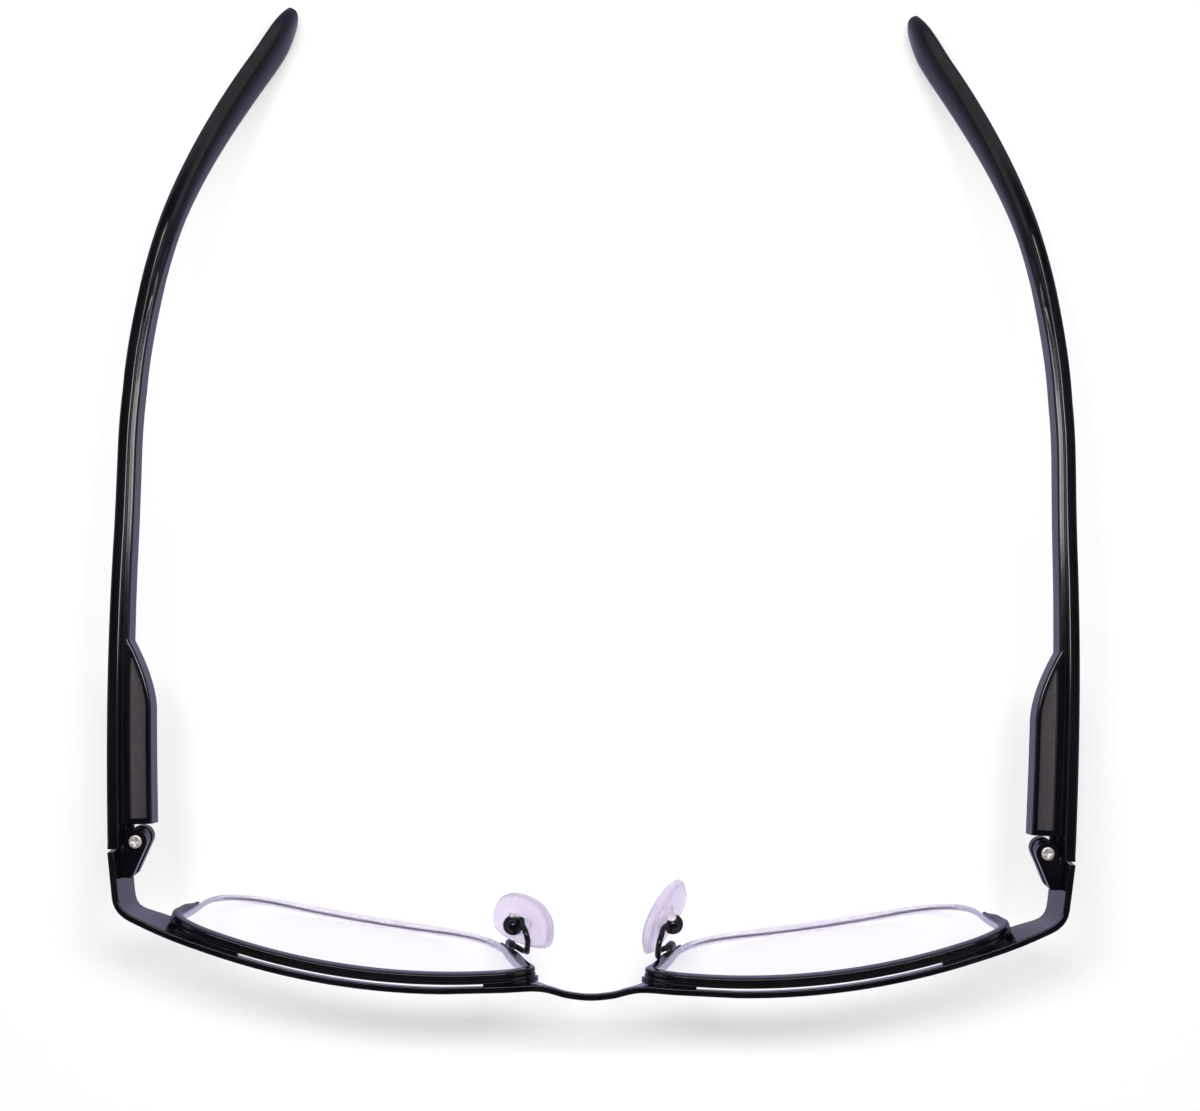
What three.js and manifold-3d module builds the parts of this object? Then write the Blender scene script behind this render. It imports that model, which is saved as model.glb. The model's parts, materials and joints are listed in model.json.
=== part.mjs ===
// Square half-rim reading glasses, standing open on a table: millimetres, +X to the wearer's left,
// -Y to the front, +Z up. The pieces are built about the top of the hinge line, and the whole is
// then tipped and moved until the rims and the temple tips stand on the plane z = 0.
import * as THREE from "three";
import { mergeVertices } from "three/addons/utils/BufferGeometryUtils.js";
import Module from "manifold-3d";

const wasm = await Module();
wasm.setup();

// Brow plate: one stamped strip that is bridge, brow and both endpieces.
const endpieceOut = 9.5;
const cornerInset = 1.2;
const cornerRound = 2.4;
const endpieceDepth = 10.34;
const browRadius = 110;
const browRoundOut = 12.95;
const browArch = 0.4;
const browCrestShare = 0.68;
const bridgeBow = 0.7;
const bridgeDip = 0.55;
const plateThickness = 1;
const plateEdge = 0.12;
const browHeight = 3;
const bridgeHeight = 3.1;
const flareHeight = 9.3;
const endpieceHeight = 11;
const nasalFlareLead = 0.95;
const nasalFlareRun = 6.4;
const outerFlareLead = 5.95;
const outerFlareRun = 7.1;
const outerLeanShare = 0.45;
const cornerLeanShare = 1.2;
const endpieceBack = 1.25;
const braceGap = 0.7;

// Lenses.
const lensWidth = 53.4;
const lensHeight = 33.6;
const lensBetween = 18.1;
const lensCrestDrop = 2;
const lensFootWrap = 1.6;
const lensCentreThickness = 2.3;
const lensEdgeThickness = 1.3;
const lensGrooveDepth = 0.5;
const lensGrooveWidth = 0.6;
const cordDiameter = 0.4;
const cordSink = 0.22;
const cordEndGap = 0.3;

// Half rims over the top and the upper sides of the lenses.
const rimTop = 2.2;
const rimSide = 1.4;
const rimEnd = 0.8;
const rimDepth = 1.7;
const rimEndDepth = 1.35;
const rimEdge = 0.25;
const rimFluteWidth = 0.5;
const rimFluteDepth = 0.3;
const rimChannelWidth = 0.6;
const rimChannelDepth = 0.45;
const rimNasalDrop = 28;
const rimTempleDrop = 19.5;
const seatGap = 0.12;
const linerWidth = 0.36;
const linerSink = 0.1;
const linerRise = 0.4;
const brazeClearance = 0.1;
const brazeHeight = 1.6;
const brazeNasalInset = 1.75;
const brazeNasalLength = 5.2;
const brazeTempleInset = 2.05;
const brazeTempleLength = 8.4;

// Hinges.
const hingeInset = 3.6;
const hingeDrop = 5.4;
const earRadius = 1.75;
const knuckleRadius = 1.6;
const earHeight = 1.7;
const knuckleHeight = 1.9;
const knuckleGap = 0.15;
const leafLength = 3.9;
const leafThickness = 1.45;
const leafBack = 1.6;
const leafGap = 0.06;
const pinRadius = 0.55;
const pinClearance = 0.08;
const pinHeadRadius = 0.98;
const pinHeadHeight = 0.5;
const pinHeadSink = 0.38;
const pinHeadRoom = 0.16;
const crossWidth = 0.24;
const crossLength = 1.25;
const crossDepth = 0.22;
const shankStart = 0.3;
const shankEnd = 9.3;
const shankHeight = 1.4;
const shankThickness = 0.8;
const shankGap = 0.15;

// Temples: a tall outer wall with a lower rib inside it, a block at the front and a bent tip.
const templeLength = 132.1;
const templeSlope = 5.9;
const templeSweep = 20.6;
const templeSweepStart = 58.5;
const templeBulge = 0.95;
const templeBulgeEnd = 68;
const templeBendStart = 93.5;
const templeBend = 20;
const wallFront = 0.7;
const wallThickness = 1.7;
const wallFrontHeight = 11;
const wallMidHeight = 6.8;
const tipHeight = 7.4;
const armThickness = 2.6;
const tipThickness = 3.4;
const tipRound = 3.6;
const ribHeight = 4.8;
const armEdge = 0.4;
const tipEdge = 1.1;
const blockFront = 2.1;
const blockFull = 19.3;
const blockBack = 29.9;
const blockWidth = 6.1;
const blockHeight = 4.8;
const blockEdge = 0.4;
const pocketLip = 0.85;
const pocketOffset = 1.1;
const pocketDepth = 1;
const pocketEnd = 27.3;

// Nose pads, their boxes and the wires that carry them.
const boxPastLens = { right: 0.04, left: 0.75 };
const boxBehindBrow = { right: 6.8, left: 7.3 };
const boxDrop = 18;
const boxRadius = 1.6;
const boxLength = 0.55;
const boxFloor = 1.05;
const wireDiameter = 0.9;
const footLength = 4.2;
const footWidth = 1.5;
const footThickness = 1.1;
const footDrop = 24.2;
const padLength = 13.6;
const padWidth = 7.8;
const padDrop = { right: -0.3, left: 0.7 };
const padThickness = 2.1;
const padBack = 1.05;
const padEdge = 0.9;
const coreLength = 4.8;
const coreWidth = 2.6;
const coreThickness = 0.7;
const coreClearance = 0.1;
const tabThickness = 0.8;
const tabWidth = 1.5;
const tabReach = 0.5;
const tabRoom = 0.16;
const tabEndRoom = 0.25;
const padScrewRadius = 0.32;
const padScrewRoom = 0.07;
const padScrewHead = 0.75;
const padScrewHeadHeight = 0.55;
const padScrewSeat = 1.12;
const padScrewStandOff = 0.06;
const padScrewHeadRoom = 0.1;

const stationTurn = 9;
const stationRun = 4.6;
const cutOverrun = 2;
const weld = 1e-4;

// Corners of the lens, each with its share of the lens width from the nose, its share of the height
// down from the top, and the stretch that its rounding takes, as a share of the width.
const lensCornerShares = [
  [0.12, 0.943, 0.2],
  [0, 0.018, 0.1],
  [0.5, -0.018, 0.36],
  [1, 0.018, 0.115],
  [0.977, 0.93, 0.25],
  [0.52, 1.035, 0.18],
];

// The part of a pad's width that lies on the flat side of its box.
const padFlatShare = 0.4;

// How each pad lies: the way its long axis runs down and the way its back faces, as shares of
// outwards, backwards and upwards. The two were bent by hand to different angles.
const padAimShares = {
  right: { long: [0.706, 0.079, -0.704], back: [0.703, 0.038, 0.71] },
  left: { long: [0.478, 0.579, -0.66], back: [0.864, -0.175, 0.472] },
};

// Bends of each pad arm's wire, as places off the straight line from its foot to its box, at equal
// steps along it: outwards, backwards and upwards.
const wireBends = {
  right: [
    [-1.94, -1.1, 1.33],
    [-2.54, -1.13, 2.53],
    [-2.57, -1.32, 4.03],
    [-2.59, -0.85, 5.63],
    [-2.67, 0.15, 5.82],
    [-2.24, 1.02, 4.92],
    [-1.63, 1.54, 3.41],
    [-1.43, 1.64, 2.11],
  ],
  left: [
    [-1.42, -0.8, 1.02],
    [-2.06, -1.09, 2.43],
    [-2.21, -1.59, 4.22],
    [-2.26, -1.63, 6.53],
    [-2.28, -0.43, 7.32],
    [-2.15, -0.17, 6.5],
    [-1.78, 0.44, 5.12],
    [-1.58, 0.44, 3.4],
  ],
};

const finishes = {
  enamel: { color: 0x0b0b0f, roughness: 0.22, metalness: 0.35 },
  moulded: { color: 0x0a0a0d, roughness: 0.28, metalness: 0 },
  silicone: { color: 0xd9d2ec, roughness: 0.3, metalness: 0, transparent: true, opacity: 0.55 },
  clear: { color: 0xf4f6fa, roughness: 0.03, metalness: 0, transparent: true, opacity: 0.25 },
  nylon: { color: 0xcdc9d8, roughness: 0.35, metalness: 0, transparent: true, opacity: 0.7 },
  steel: { color: 0xc9c3bd, roughness: 0.3, metalness: 1 },
};

const glasses = new THREE.Group();

function add(name, geometry, finish) {
  const mesh = new THREE.Mesh(geometry, new THREE.MeshStandardMaterial(finishes[finish]));
  mesh.name = name;
  glasses.add(mesh);
}

// Geometry without normals or texture places, its corners ready to be merged.
function bareCopy(geometry) {
  const loose = geometry.index ? geometry.toNonIndexed() : geometry;
  return new THREE.BufferGeometry().setAttribute("position", loose.getAttribute("position").clone());
}

function solidOf(geometry) {
  const merged = mergeVertices(bareCopy(geometry), weld);
  const vertProperties = merged.attributes.position.array;
  const triVerts = new Uint32Array(merged.index.array);
  return new wasm.Manifold(new wasm.Mesh({ numProp: 3, vertProperties, triVerts }));
}

function geometryOf(solid) {
  const mesh = solid.getMesh();
  const geometry = new THREE.BufferGeometry();
  geometry.setAttribute("position", new THREE.BufferAttribute(mesh.vertProperties, 3));
  geometry.setIndex(new THREE.BufferAttribute(mesh.triVerts, 1));
  return geometry;
}

function join(...pieces) {
  return geometryOf(pieces.map(solidOf).reduce((whole, piece) => whole.add(piece)));
}

function cut(body, ...tools) {
  return geometryOf(tools.map(solidOf).reduce((rest, tool) => rest.subtract(tool), solidOf(body)));
}

// A closed surface has its faces out when the volume that they enclose is positive.
function facingOut(geometry) {
  const position = geometry.getAttribute("position");
  const index = geometry.index.array;
  const corners = [new THREE.Vector3(), new THREE.Vector3(), new THREE.Vector3()];
  let volume = 0;
  for (let i = 0; i < index.length; i += 3) {
    corners.forEach((corner, k) => corner.fromBufferAttribute(position, index[i + k]));
    volume += corners[0].dot(corners[1].clone().cross(corners[2]));
  }
  if (volume > 0) return geometry;
  for (let i = 0; i < index.length; i += 3) {
    const first = index[i];
    index[i] = index[i + 1];
    index[i + 1] = first;
  }
  return geometry;
}

// Triangles over a flat outline, each turning the same way round as the outline does.
function capFaces(outline) {
  const way = Math.sign(THREE.ShapeUtils.area(outline));
  return THREE.ShapeUtils.triangulateShape(outline, []).map(([a, b, c]) => {
    const turn = THREE.ShapeUtils.area([outline[a], outline[b], outline[c]]);
    return Math.sign(turn) === way ? [a, b, c] : [a, c, b];
  });
}

// A closed solid through rings of equal counts; the flat outline says how its ends are closed.
function loft(rings, outline) {
  const count = outline.length;
  const last = (rings.length - 1) * count;
  const index = [];
  for (let r = 0; r < rings.length - 1; r++) {
    for (let i = 0; i < count; i++) {
      const a = r * count + i;
      const b = r * count + ((i + 1) % count);
      index.push(a, b, b + count, a, b + count, a + count);
    }
  }
  for (const [a, b, c] of capFaces(outline)) {
    index.push(a, c, b);
    index.push(last + a, last + b, last + c);
  }
  const geometry = new THREE.BufferGeometry().setFromPoints(rings.flat());
  geometry.setIndex(index);
  return facingOut(geometry);
}

// Every piece is drawn on the wearer's left; the one on the right is the same turned over.
function onSide(geometry, side) {
  const copy = mergeVertices(bareCopy(geometry), weld);
  copy.scale(side, 1, 1);
  return facingOut(copy);
}

function steps(from, to, count) {
  return Array.from({ length: count + 1 }, (_, i) => from + ((to - from) * i) / count);
}

// Reads a table of [place, value] rows with a smooth step from each row to the next.
function eased(table, place) {
  const above = table.findIndex(([at]) => at >= place);
  if (above === 0) return table[0][1];
  if (above < 0) return table.at(-1)[1];
  const [from, low] = table[above - 1];
  const [to, high] = table[above];
  return low + (high - low) * THREE.MathUtils.smoothstep(place, from, to);
}

function vec2(x, y) {
  return new THREE.Vector2(x, y);
}

function vec3(x, y, z) {
  return new THREE.Vector3(x, y, z);
}

// A flat outline raised between two heights.
function slab(outline, low, high) {
  const shape = new THREE.Shape(outline);
  const geometry = new THREE.ExtrudeGeometry(shape, { depth: high - low, bevelEnabled: false });
  return geometry.translate(0, 0, low);
}

function upright(radius, low, high, sides) {
  const geometry = new THREE.CylinderGeometry(radius, radius, high - low, sides);
  return geometry.rotateX(Math.PI / 2).translate(0, 0, (low + high) / 2);
}

// Convex outline round flat points, by the monotone chain.
function hullOf(points) {
  const sorted = [...points].sort((a, b) => a.x - b.x || a.y - b.y);
  const chain = (list) => {
    const kept = [];
    for (const p of list) {
      while (kept.length > 1) {
        const [a, b] = kept.slice(-2);
        if ((b.x - a.x) * (p.y - a.y) - (b.y - a.y) * (p.x - a.x) > 0) break;
        kept.pop();
      }
      kept.push(p);
    }
    return kept.slice(0, -1);
  };
  return [...chain(sorted), ...chain(sorted.reverse())];
}

function circlePoints(centre, radius, count) {
  return steps(0, 2 * Math.PI, count)
    .slice(1)
    .map((turn) => vec2(centre.x + radius * Math.cos(turn), centre.y + radius * Math.sin(turn)));
}

// Places outwards from the nose line: the lens's ends, the plate's corner and the hinge's outer face.
const lensNasal = lensBetween / 2;
const lensMiddle = lensNasal + lensWidth / 2;
const lensOuter = lensNasal + lensWidth;
const halfFront = lensOuter + endpieceOut;
const cornerSide = halfFront - cornerInset;
const browFlat = lensNasal + browRoundOut;
const nasalFlarePeak = lensNasal - nasalFlareLead;
const outerFlareStart = lensOuter - outerFlareLead;
const outerFlareEnd = outerFlareStart + outerFlareRun;
const brazeNasalStart = lensNasal + brazeNasalInset;
const brazeNasalEnd = brazeNasalStart + brazeNasalLength;
const brazeTempleEnd = lensOuter - brazeTempleInset;
const brazeTempleStart = brazeTempleEnd - brazeTempleLength;

// Plan of the brow plate's front face on the wearer's left, from the nose to the hinge.
const browEndSide = cornerSide - cornerRound;
const browSpan = Math.asin((browEndSide - browFlat) / browRadius);
const browSag = browRadius * (1 - Math.cos(browSpan)) + cornerRound * Math.tan(browSpan);
const browReach = endpieceDepth + browSag;
const browCentreBack = browRadius - browReach;
const browEndBack = browCentreBack - browRadius * Math.cos(browSpan);
const corner = vec2(cornerSide, browEndBack + cornerRound * Math.tan(browSpan));
const hingeEnd = vec2(halfFront, -endpieceBack);
const cornerExit = corner.clone().lerp(hingeEnd, cornerRound / corner.distanceTo(hingeEnd));

const bridgePlan = new THREE.SplineCurve([
  vec2(-browFlat * 0.16, -(browReach + bridgeBow * 0.5)),
  vec2(0, -(browReach + bridgeBow)),
  vec2(browFlat * 0.16, -(browReach + bridgeBow * 0.5)),
  vec2(browFlat * 0.34, -(browReach - bridgeDip)),
  vec2(browFlat * 0.6, -(browReach - bridgeDip * 0.55)),
  vec2(browFlat, -browReach),
]);
const bridgeStart = 1 / 5;
const browPlan = new THREE.EllipseCurve(
  browFlat, browCentreBack, browRadius, browRadius, -Math.PI / 2, browSpan - Math.PI / 2,
);
const cornerPlan = new THREE.QuadraticBezierCurve(vec2(browEndSide, browEndBack), corner, cornerExit);
const endpiecePlan = new THREE.LineCurve(cornerExit, hingeEnd);

// Places along the plan, each with its point on the front face and the way to the rear face.
function planPlaces(curve, shares) {
  return shares.map((share) => {
    const point = curve.getPoint(share);
    const along = curve.getTangent(share);
    return { point, rear: vec2(-along.y, along.x) };
  });
}

const platePlaces = [
  ...planPlaces(bridgePlan, steps(bridgeStart, 1, 26)),
  ...planPlaces(browPlan, steps(0, 1, 20).slice(1)),
  ...planPlaces(cornerPlan, steps(0, 1, 5).slice(1)),
  ...planPlaces(endpiecePlan, steps(0, 1, 3).slice(1)),
];

// The plate's front face and rear side at a distance from the nose line, short of the corner.
function plateAt(side) {
  const above = platePlaces.findIndex(({ point }) => point.x >= side);
  const [a, b] = [platePlaces[above - 1], platePlaces[above]];
  const share = (side - a.point.x) / (b.point.x - a.point.x);
  const rear = a.rear.clone().lerp(b.rear, share).normalize();
  return { point: a.point.clone().lerp(b.point, share), rear };
}

const templeFall = Math.tan(THREE.MathUtils.degToRad(templeSlope));
// Height of the plate's top edge: a low arch over each eye, then down along the temple's line.
function plateTop({ x, y }) {
  const arch = ((x - lensNasal - browCrestShare * lensWidth) / (lensWidth / 2)) ** 2;
  return -browArch * arch - Math.max(0, y - corner.y) * templeFall;
}

// Height of the strip: thin over the nose, down beside each rim, thin again, then the endpiece.
function plateDrop(x) {
  const rise = Math.min(1, x / nasalFlarePeak) ** 9;
  const fall = THREE.MathUtils.clamp((x - nasalFlarePeak) / nasalFlareRun, 0, 1);
  const outer = THREE.MathUtils.clamp((x - outerFlareStart) / outerFlareRun, 0, 1);
  const nasal = (flareHeight - bridgeHeight) * rise * (1 - fall) ** 1.9;
  const base = THREE.MathUtils.lerp(bridgeHeight, browHeight, fall);
  return base + nasal + (endpieceHeight - base) * outer ** 2.2;
}

// The plate is pressed to the round of the lenses: how far it stands forward at a height. Outside
// the rims it flattens, the fold at the corner leans forward, and the endpiece is flat again.
function plateBulge({ x, y }, z) {
  const flat = THREE.MathUtils.smoothstep(x, outerFlareStart, outerFlareEnd) * (1 - outerLeanShare);
  const fold = THREE.MathUtils.smoothstep(x, outerFlareEnd, cornerSide);
  const lean = 1 - flat + fold * (cornerLeanShare - outerLeanShare);
  const fade = THREE.MathUtils.smoothstep(y, corner.y, -leafBack - leafLength);
  const side = Math.min(x, cornerSide);
  return (onBall(side, barHeight).y - onBall(side, z).y) * lean * (1 - fade);
}

function plateRing({ point, rear }, side) {
  const top = plateTop(point);
  const low = top - plateDrop(point.x);
  const section = [
    [plateEdge, top],
    [0, top - plateEdge],
    [0, low + plateEdge],
    [plateEdge, low],
    [plateThickness - plateEdge, low],
    [plateThickness, low + plateEdge],
    [plateThickness, top - plateEdge],
    [plateThickness - plateEdge, top],
  ];
  return section.map(([back, z]) => {
    const place = point.clone().addScaledVector(rear, back);
    return vec3(side * place.x, place.y - plateBulge(point, z), z);
  });
}

function browPlate() {
  const right = platePlaces.slice(1).reverse().map((place) => plateRing(place, -1));
  const left = platePlaces.map((place) => plateRing(place, 1));
  const outline = left[0].map(({ y, z }) => vec2(y, z));
  return loft([...right, ...left], outline);
}

// Outline of the lens edge seen from the front: x from the nose line, y as height.
const lensTop = -(rimTop + seatGap);
const lensBottom = lensTop - lensHeight;

function lensOutline() {
  const corners = lensCornerShares.map(([across, down, round]) => ({
    at: vec2(lensNasal + across * lensWidth, lensTop - down * lensHeight),
    round: round * lensWidth,
  }));
  const towards = (from, to, distance) => from.clone().lerp(to, distance / from.distanceTo(to));
  const path = new THREE.Path();
  const start = towards(corners.at(-1).at, corners[0].at, corners.at(-1).round);
  path.moveTo(start.x, start.y);
  corners.forEach(({ at, round }, i) => {
    const before = corners.at(i - 1).at;
    const after = corners[(i + 1) % corners.length].at;
    const enter = towards(at, before, round);
    const leave = towards(at, after, round);
    path.lineTo(enter.x, enter.y);
    path.quadraticCurveTo(at.x, at.y, leave.x, leave.y);
  });
  return path;
}

const outline = lensOutline();

// The lenses and rims lie on a ball round this centre.
const lensSurfaceBack = -browReach + plateThickness + braceGap + rimDepth / 2;
const lensMidHeight = (lensTop + lensBottom) / 2;
const barHeight = lensTop + seatGap + rimTop / 2;
const crestHeight = lensMidHeight - lensCrestDrop;
const ballRise = Math.sqrt(browRadius ** 2 - (barHeight - crestHeight) ** 2);
const ball = vec3(browFlat, lensSurfaceBack + ballRise, crestHeight);

// Its lower outer part wraps back a little, as the foot of a lens does.
function onBall(x, z) {
  const depth = Math.sqrt(browRadius ** 2 - (x - ball.x) ** 2 - (z - ball.z) ** 2);
  const drop = Math.max(0, barHeight - z);
  const wrap = (lensFootWrap * (x - ball.x) * drop) / (lensWidth * (drop + lensHeight / 2));
  return vec3(x, ball.y - depth + wrap, z);
}

// Level direction from the lens towards the face.
function faceward(x) {
  const lean = (x - ball.x) / browRadius;
  return vec3(-lean, Math.sqrt(1 - lean * lean), 0);
}

// Place on the lens edge at a share of its outline: point, outward way and way to the face.
function edgePlace(share) {
  const whole = ((share % 1) + 1) % 1;
  const probe = 1e-4;
  const at = outline.getPoint(whole);
  const before = outline.getPoint(Math.max(0, whole - probe));
  const after = outline.getPoint(Math.min(1, whole + probe));
  const along = onBall(after.x, after.y).sub(onBall(before.x, before.y)).normalize();
  const back = faceward(at.x);
  const out = along.clone().cross(back).normalize();
  if (out.dot(vec3(at.x - lensMiddle, 0, at.y - lensMidHeight)) < 0) out.negate();
  return { point: onBall(at.x, at.y), out, back };
}

function edgeRing(share, section) {
  const { point, out, back } = edgePlace(share);
  return section.map(([a, b]) => point.clone().addScaledVector(out, a).addScaledVector(back, b));
}

// Share of the outline where it passes a height, searched from one share to another.
function shareAtHeight(height, from, to) {
  const places = steps(from, to, 400);
  const above = (share) => outline.getPoint(share).y > height;
  return places.find((share) => above(share) !== above(from));
}

function shareAtSide(side, from, to) {
  const places = steps(from, to, 400);
  return places.find((share) => outline.getPoint(share).x > side);
}

// Stations round the outline, closer together where it bends, that all its pieces share.
function edgeStations() {
  const least = Math.cos(THREE.MathUtils.degToRad(stationTurn));
  const kept = [0];
  for (const share of steps(0, 1, 1600)) {
    const run = (share - kept.at(-1)) * outline.getLength();
    const bend = outline.getTangent(share).dot(outline.getTangent(kept.at(-1)));
    if (run > stationRun || bend < least) kept.push(share);
  }
  return kept.filter((share) => (1 - share) * outline.getLength() > stationRun / 3);
}

const stations = edgeStations();

function stationsBetween(from, to) {
  const margin = stationRun / 4 / outline.getLength();
  const round = [...stations, ...stations.map((share) => share + 1)];
  return [from, ...round.filter((share) => share > from + margin && share < to - margin), to];
}

const nasalShare = stations.reduce((a, b) => (outline.getPoint(b).x < outline.getPoint(a).x ? b : a));
const topShare = shareAtSide(lensMiddle, nasalShare, 1);
const rimStart = shareAtHeight(-rimNasalDrop, 0, topShare);
const rimFinish = shareAtHeight(-rimTempleDrop, topShare, 1);

// Rim section: flute on its outer face, channel for the liner on its inner face.
function rimSection(share) {
  const height = outline.getPoint(share).y;
  const foot = share < topShare ? -rimNasalDrop : -rimTempleDrop;
  const climb = (height - foot) / (lensTop - foot);
  const width = eased([[0, rimEnd], [0.35, rimSide], [0.8, rimSide], [0.97, rimTop]], climb);
  const depth = eased([[0, rimEndDepth], [0.35, rimDepth]], climb);
  const half = depth / 2;
  const outer = seatGap + width;
  const flute = Math.min(rimFluteDepth, width / 3);
  const channel = Math.min(rimChannelDepth, width / 2);
  return [
    [seatGap, -half],
    [outer - rimEdge, -half],
    [outer, rimEdge - half],
    [outer, -rimFluteWidth / 2],
    [outer - flute, 0],
    [outer, rimFluteWidth / 2],
    [outer, half - rimEdge],
    [outer - rimEdge, half],
    [seatGap, half],
    [seatGap, rimChannelWidth / 2],
    [seatGap + channel, rimChannelWidth / 2],
    [seatGap + channel, -rimChannelWidth / 2],
    [seatGap, -rimChannelWidth / 2],
  ];
}

function sweptEdge(from, to, sectionAt) {
  const rings = stationsBetween(from, to).map((share) => edgeRing(share, sectionAt(share)));
  return loft(rings, sectionAt(from).map(([a, b]) => vec2(a, b)));
}

function rim() {
  return sweptEdge(rimStart, rimFinish, rimSection);
}

function rimLiner() {
  const half = linerWidth / 2;
  const section = () => [
    [-linerSink, -half],
    [linerRise, -half],
    [linerRise, half],
    [-linerSink, half],
  ];
  const inset = linerRise / outline.getLength();
  return sweptEdge(rimStart + inset, rimFinish - inset, section);
}

// The nylon cord runs in the lens groove round the bottom, from one rim end to the other.
function nylonCord() {
  const section = () =>
    circlePoints(vec2(-cordSink, 0), cordDiameter / 2, 6).map(({ x, y }) => [x, y]);
  const inset = cordEndGap / outline.getLength();
  return sweptEdge(rimFinish + inset, 1 + rimStart - inset, section);
}

// Thickness of the lens, greatest at its middle as in every reading lens.
function lensThickness(x, z) {
  const away = Math.hypot(x - lensMiddle, z - lensMidHeight) / (lensWidth / 2);
  const least = 1.8 * lensGrooveWidth;
  return Math.max(least, lensCentreThickness - (lensCentreThickness - lensEdgeThickness) * away ** 2);
}

function lensPoint(x, z, half) {
  return onBall(x, z).addScaledVector(faceward(x), (half * lensThickness(x, z)) / 2);
}

// The lens is a fan and rings on each face, joined by an edge with a groove all round.
function lens() {
  const shares = stations;
  const around = shares.length;
  const ringScales = [1 / 3, 2 / 3, 1];
  const points = [];
  const faceRings = (half) => {
    points.push(lensPoint(lensMiddle, lensMidHeight, half));
    const middle = points.length - 1;
    const rings = ringScales.map((scale) => {
      const first = points.length;
      for (const share of shares) {
        const { x, y } = outline.getPoint(share);
        const across = lensMiddle + (x - lensMiddle) * scale;
        const height = lensMidHeight + (y - lensMidHeight) * scale;
        points.push(lensPoint(across, height, half));
      }
      return first;
    });
    return { middle, rings };
  };
  const front = faceRings(-1);
  const rear = faceRings(1);
  const grooveRing = (a, b) => {
    const first = points.length;
    for (const share of shares) points.push(edgeRing(share, [[a, b]])[0]);
    return first;
  };
  const groove = [
    grooveRing(0, -lensGrooveWidth / 2),
    grooveRing(-lensGrooveDepth, -lensGrooveWidth / 2.3),
    grooveRing(-lensGrooveDepth, lensGrooveWidth / 2.3),
    grooveRing(0, lensGrooveWidth / 2),
  ];
  const index = [];
  const band = (a, b) => {
    for (let i = 0; i < around; i++) {
      const j = (i + 1) % around;
      index.push(a + i, a + j, b + j, a + i, b + j, b + i);
    }
  };
  const chain = [...front.rings, ...groove, ...rear.rings.toReversed()];
  chain.slice(1).forEach((ring, i) => band(chain[i], ring));
  for (let i = 0; i < around; i++) {
    const j = (i + 1) % around;
    index.push(front.middle, front.rings[0] + j, front.rings[0] + i);
    index.push(rear.middle, rear.rings[0] + i, rear.rings[0] + j);
  }
  const geometry = new THREE.BufferGeometry().setFromPoints(points);
  geometry.setIndex(index);
  return facingOut(geometry);
}

// Braze pad between the plate's rear face and the rim's front face.
function brazePad(fromSide, toSide) {
  const from = shareAtSide(fromSide, nasalShare, 1);
  const to = shareAtSide(toSide, nasalShare, 1);
  const middle = seatGap + rimTop / 2;
  const rings = stationsBetween(from, to).map((share) => {
    const front = -(rimDepth / 2 + brazeClearance);
    const onRim = edgeRing(share, [
      [middle + brazeHeight / 2, front],
      [middle - brazeHeight / 2, front],
    ]);
    const onPlate = onRim.toReversed().map(({ x, z }) => {
      const { point, rear } = plateAt(x);
      const face = point.clone().addScaledVector(rear, plateThickness + brazeClearance);
      return vec3(face.x, face.y - plateBulge(point, z), z);
    });
    return [...onRim, ...onPlate];
  });
  return loft(rings, [vec2(1, 1), vec2(1, 0), vec2(0, 0), vec2(0, 1)]);
}

// Hinge line: the pin is upright, inside the endpiece.
const pin = vec2(halfFront - hingeInset, 0);
const hingeHeight = plateTop(corner) - hingeDrop - Math.abs(corner.y) * templeFall;
const hingeHalf = knuckleHeight / 2 + knuckleGap + earHeight;

// Side of the endpiece's inner face at a distance back, less what stands on it.
function endpieceInner(y, standing) {
  const along = hingeEnd.clone().sub(corner).normalize();
  const side = corner.x + ((y - corner.y) * along.x) / along.y;
  return side - (plateThickness + standing) / along.y;
}

function hingeSlab(points, low, high) {
  return slab(points, hingeHeight + low, hingeHeight + high);
}

function pinHole(radius, low, high) {
  const tool = upright(radius, hingeHeight + low, hingeHeight + high, 20);
  return tool.translate(pin.x, pin.y, 0);
}

// Front leaf: a base on the endpiece's inner face and two ears round the pin.
function frontLeaf() {
  const front = -(leafBack + leafLength);
  const base = [
    vec2(endpieceInner(front, leafGap), front),
    vec2(endpieceInner(-leafBack, leafGap), -leafBack),
    vec2(endpieceInner(-leafBack, leafGap + leafThickness), -leafBack),
    vec2(endpieceInner(front, leafGap + leafThickness), front),
  ];
  const shoulder = base[1].clone().lerp(base[2], 0.5);
  const ear = hullOf([...circlePoints(pin, earRadius, 24), base[0], base[3], shoulder]);
  const inner = knuckleHeight / 2 + knuckleGap;
  const leaf = join(
    hingeSlab(base, -hingeHalf, hingeHalf),
    hingeSlab(ear, inner, hingeHalf),
    hingeSlab(ear, -hingeHalf, -inner),
  );
  const through = pinHole(pinRadius + pinClearance, -hingeHalf - cutOverrun, hingeHalf + cutOverrun);
  const sink = pinHole(pinHeadRadius + pinHeadRoom, hingeHalf - pinHeadSink, hingeHalf + cutOverrun);
  return cut(leaf, through, sink);
}

// Hinge screw: a plain pin below a low head with a cross recess.
function hingeScrew() {
  const seat = hingeHalf - pinHeadSink + pinClearance;
  const top = seat + pinHeadHeight;
  const screw = join(
    pinHole(pinRadius, -hingeHalf + pinClearance, seat + pinHeadHeight / 2),
    pinHole(pinHeadRadius, seat, top),
  );
  const bar = (long, wide) => {
    const box = new THREE.BoxGeometry(long, wide, crossDepth * 2);
    return box.translate(pin.x, pin.y, hingeHeight + top);
  };
  return cut(screw, bar(crossLength, crossWidth), bar(crossWidth, crossLength));
}

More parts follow.
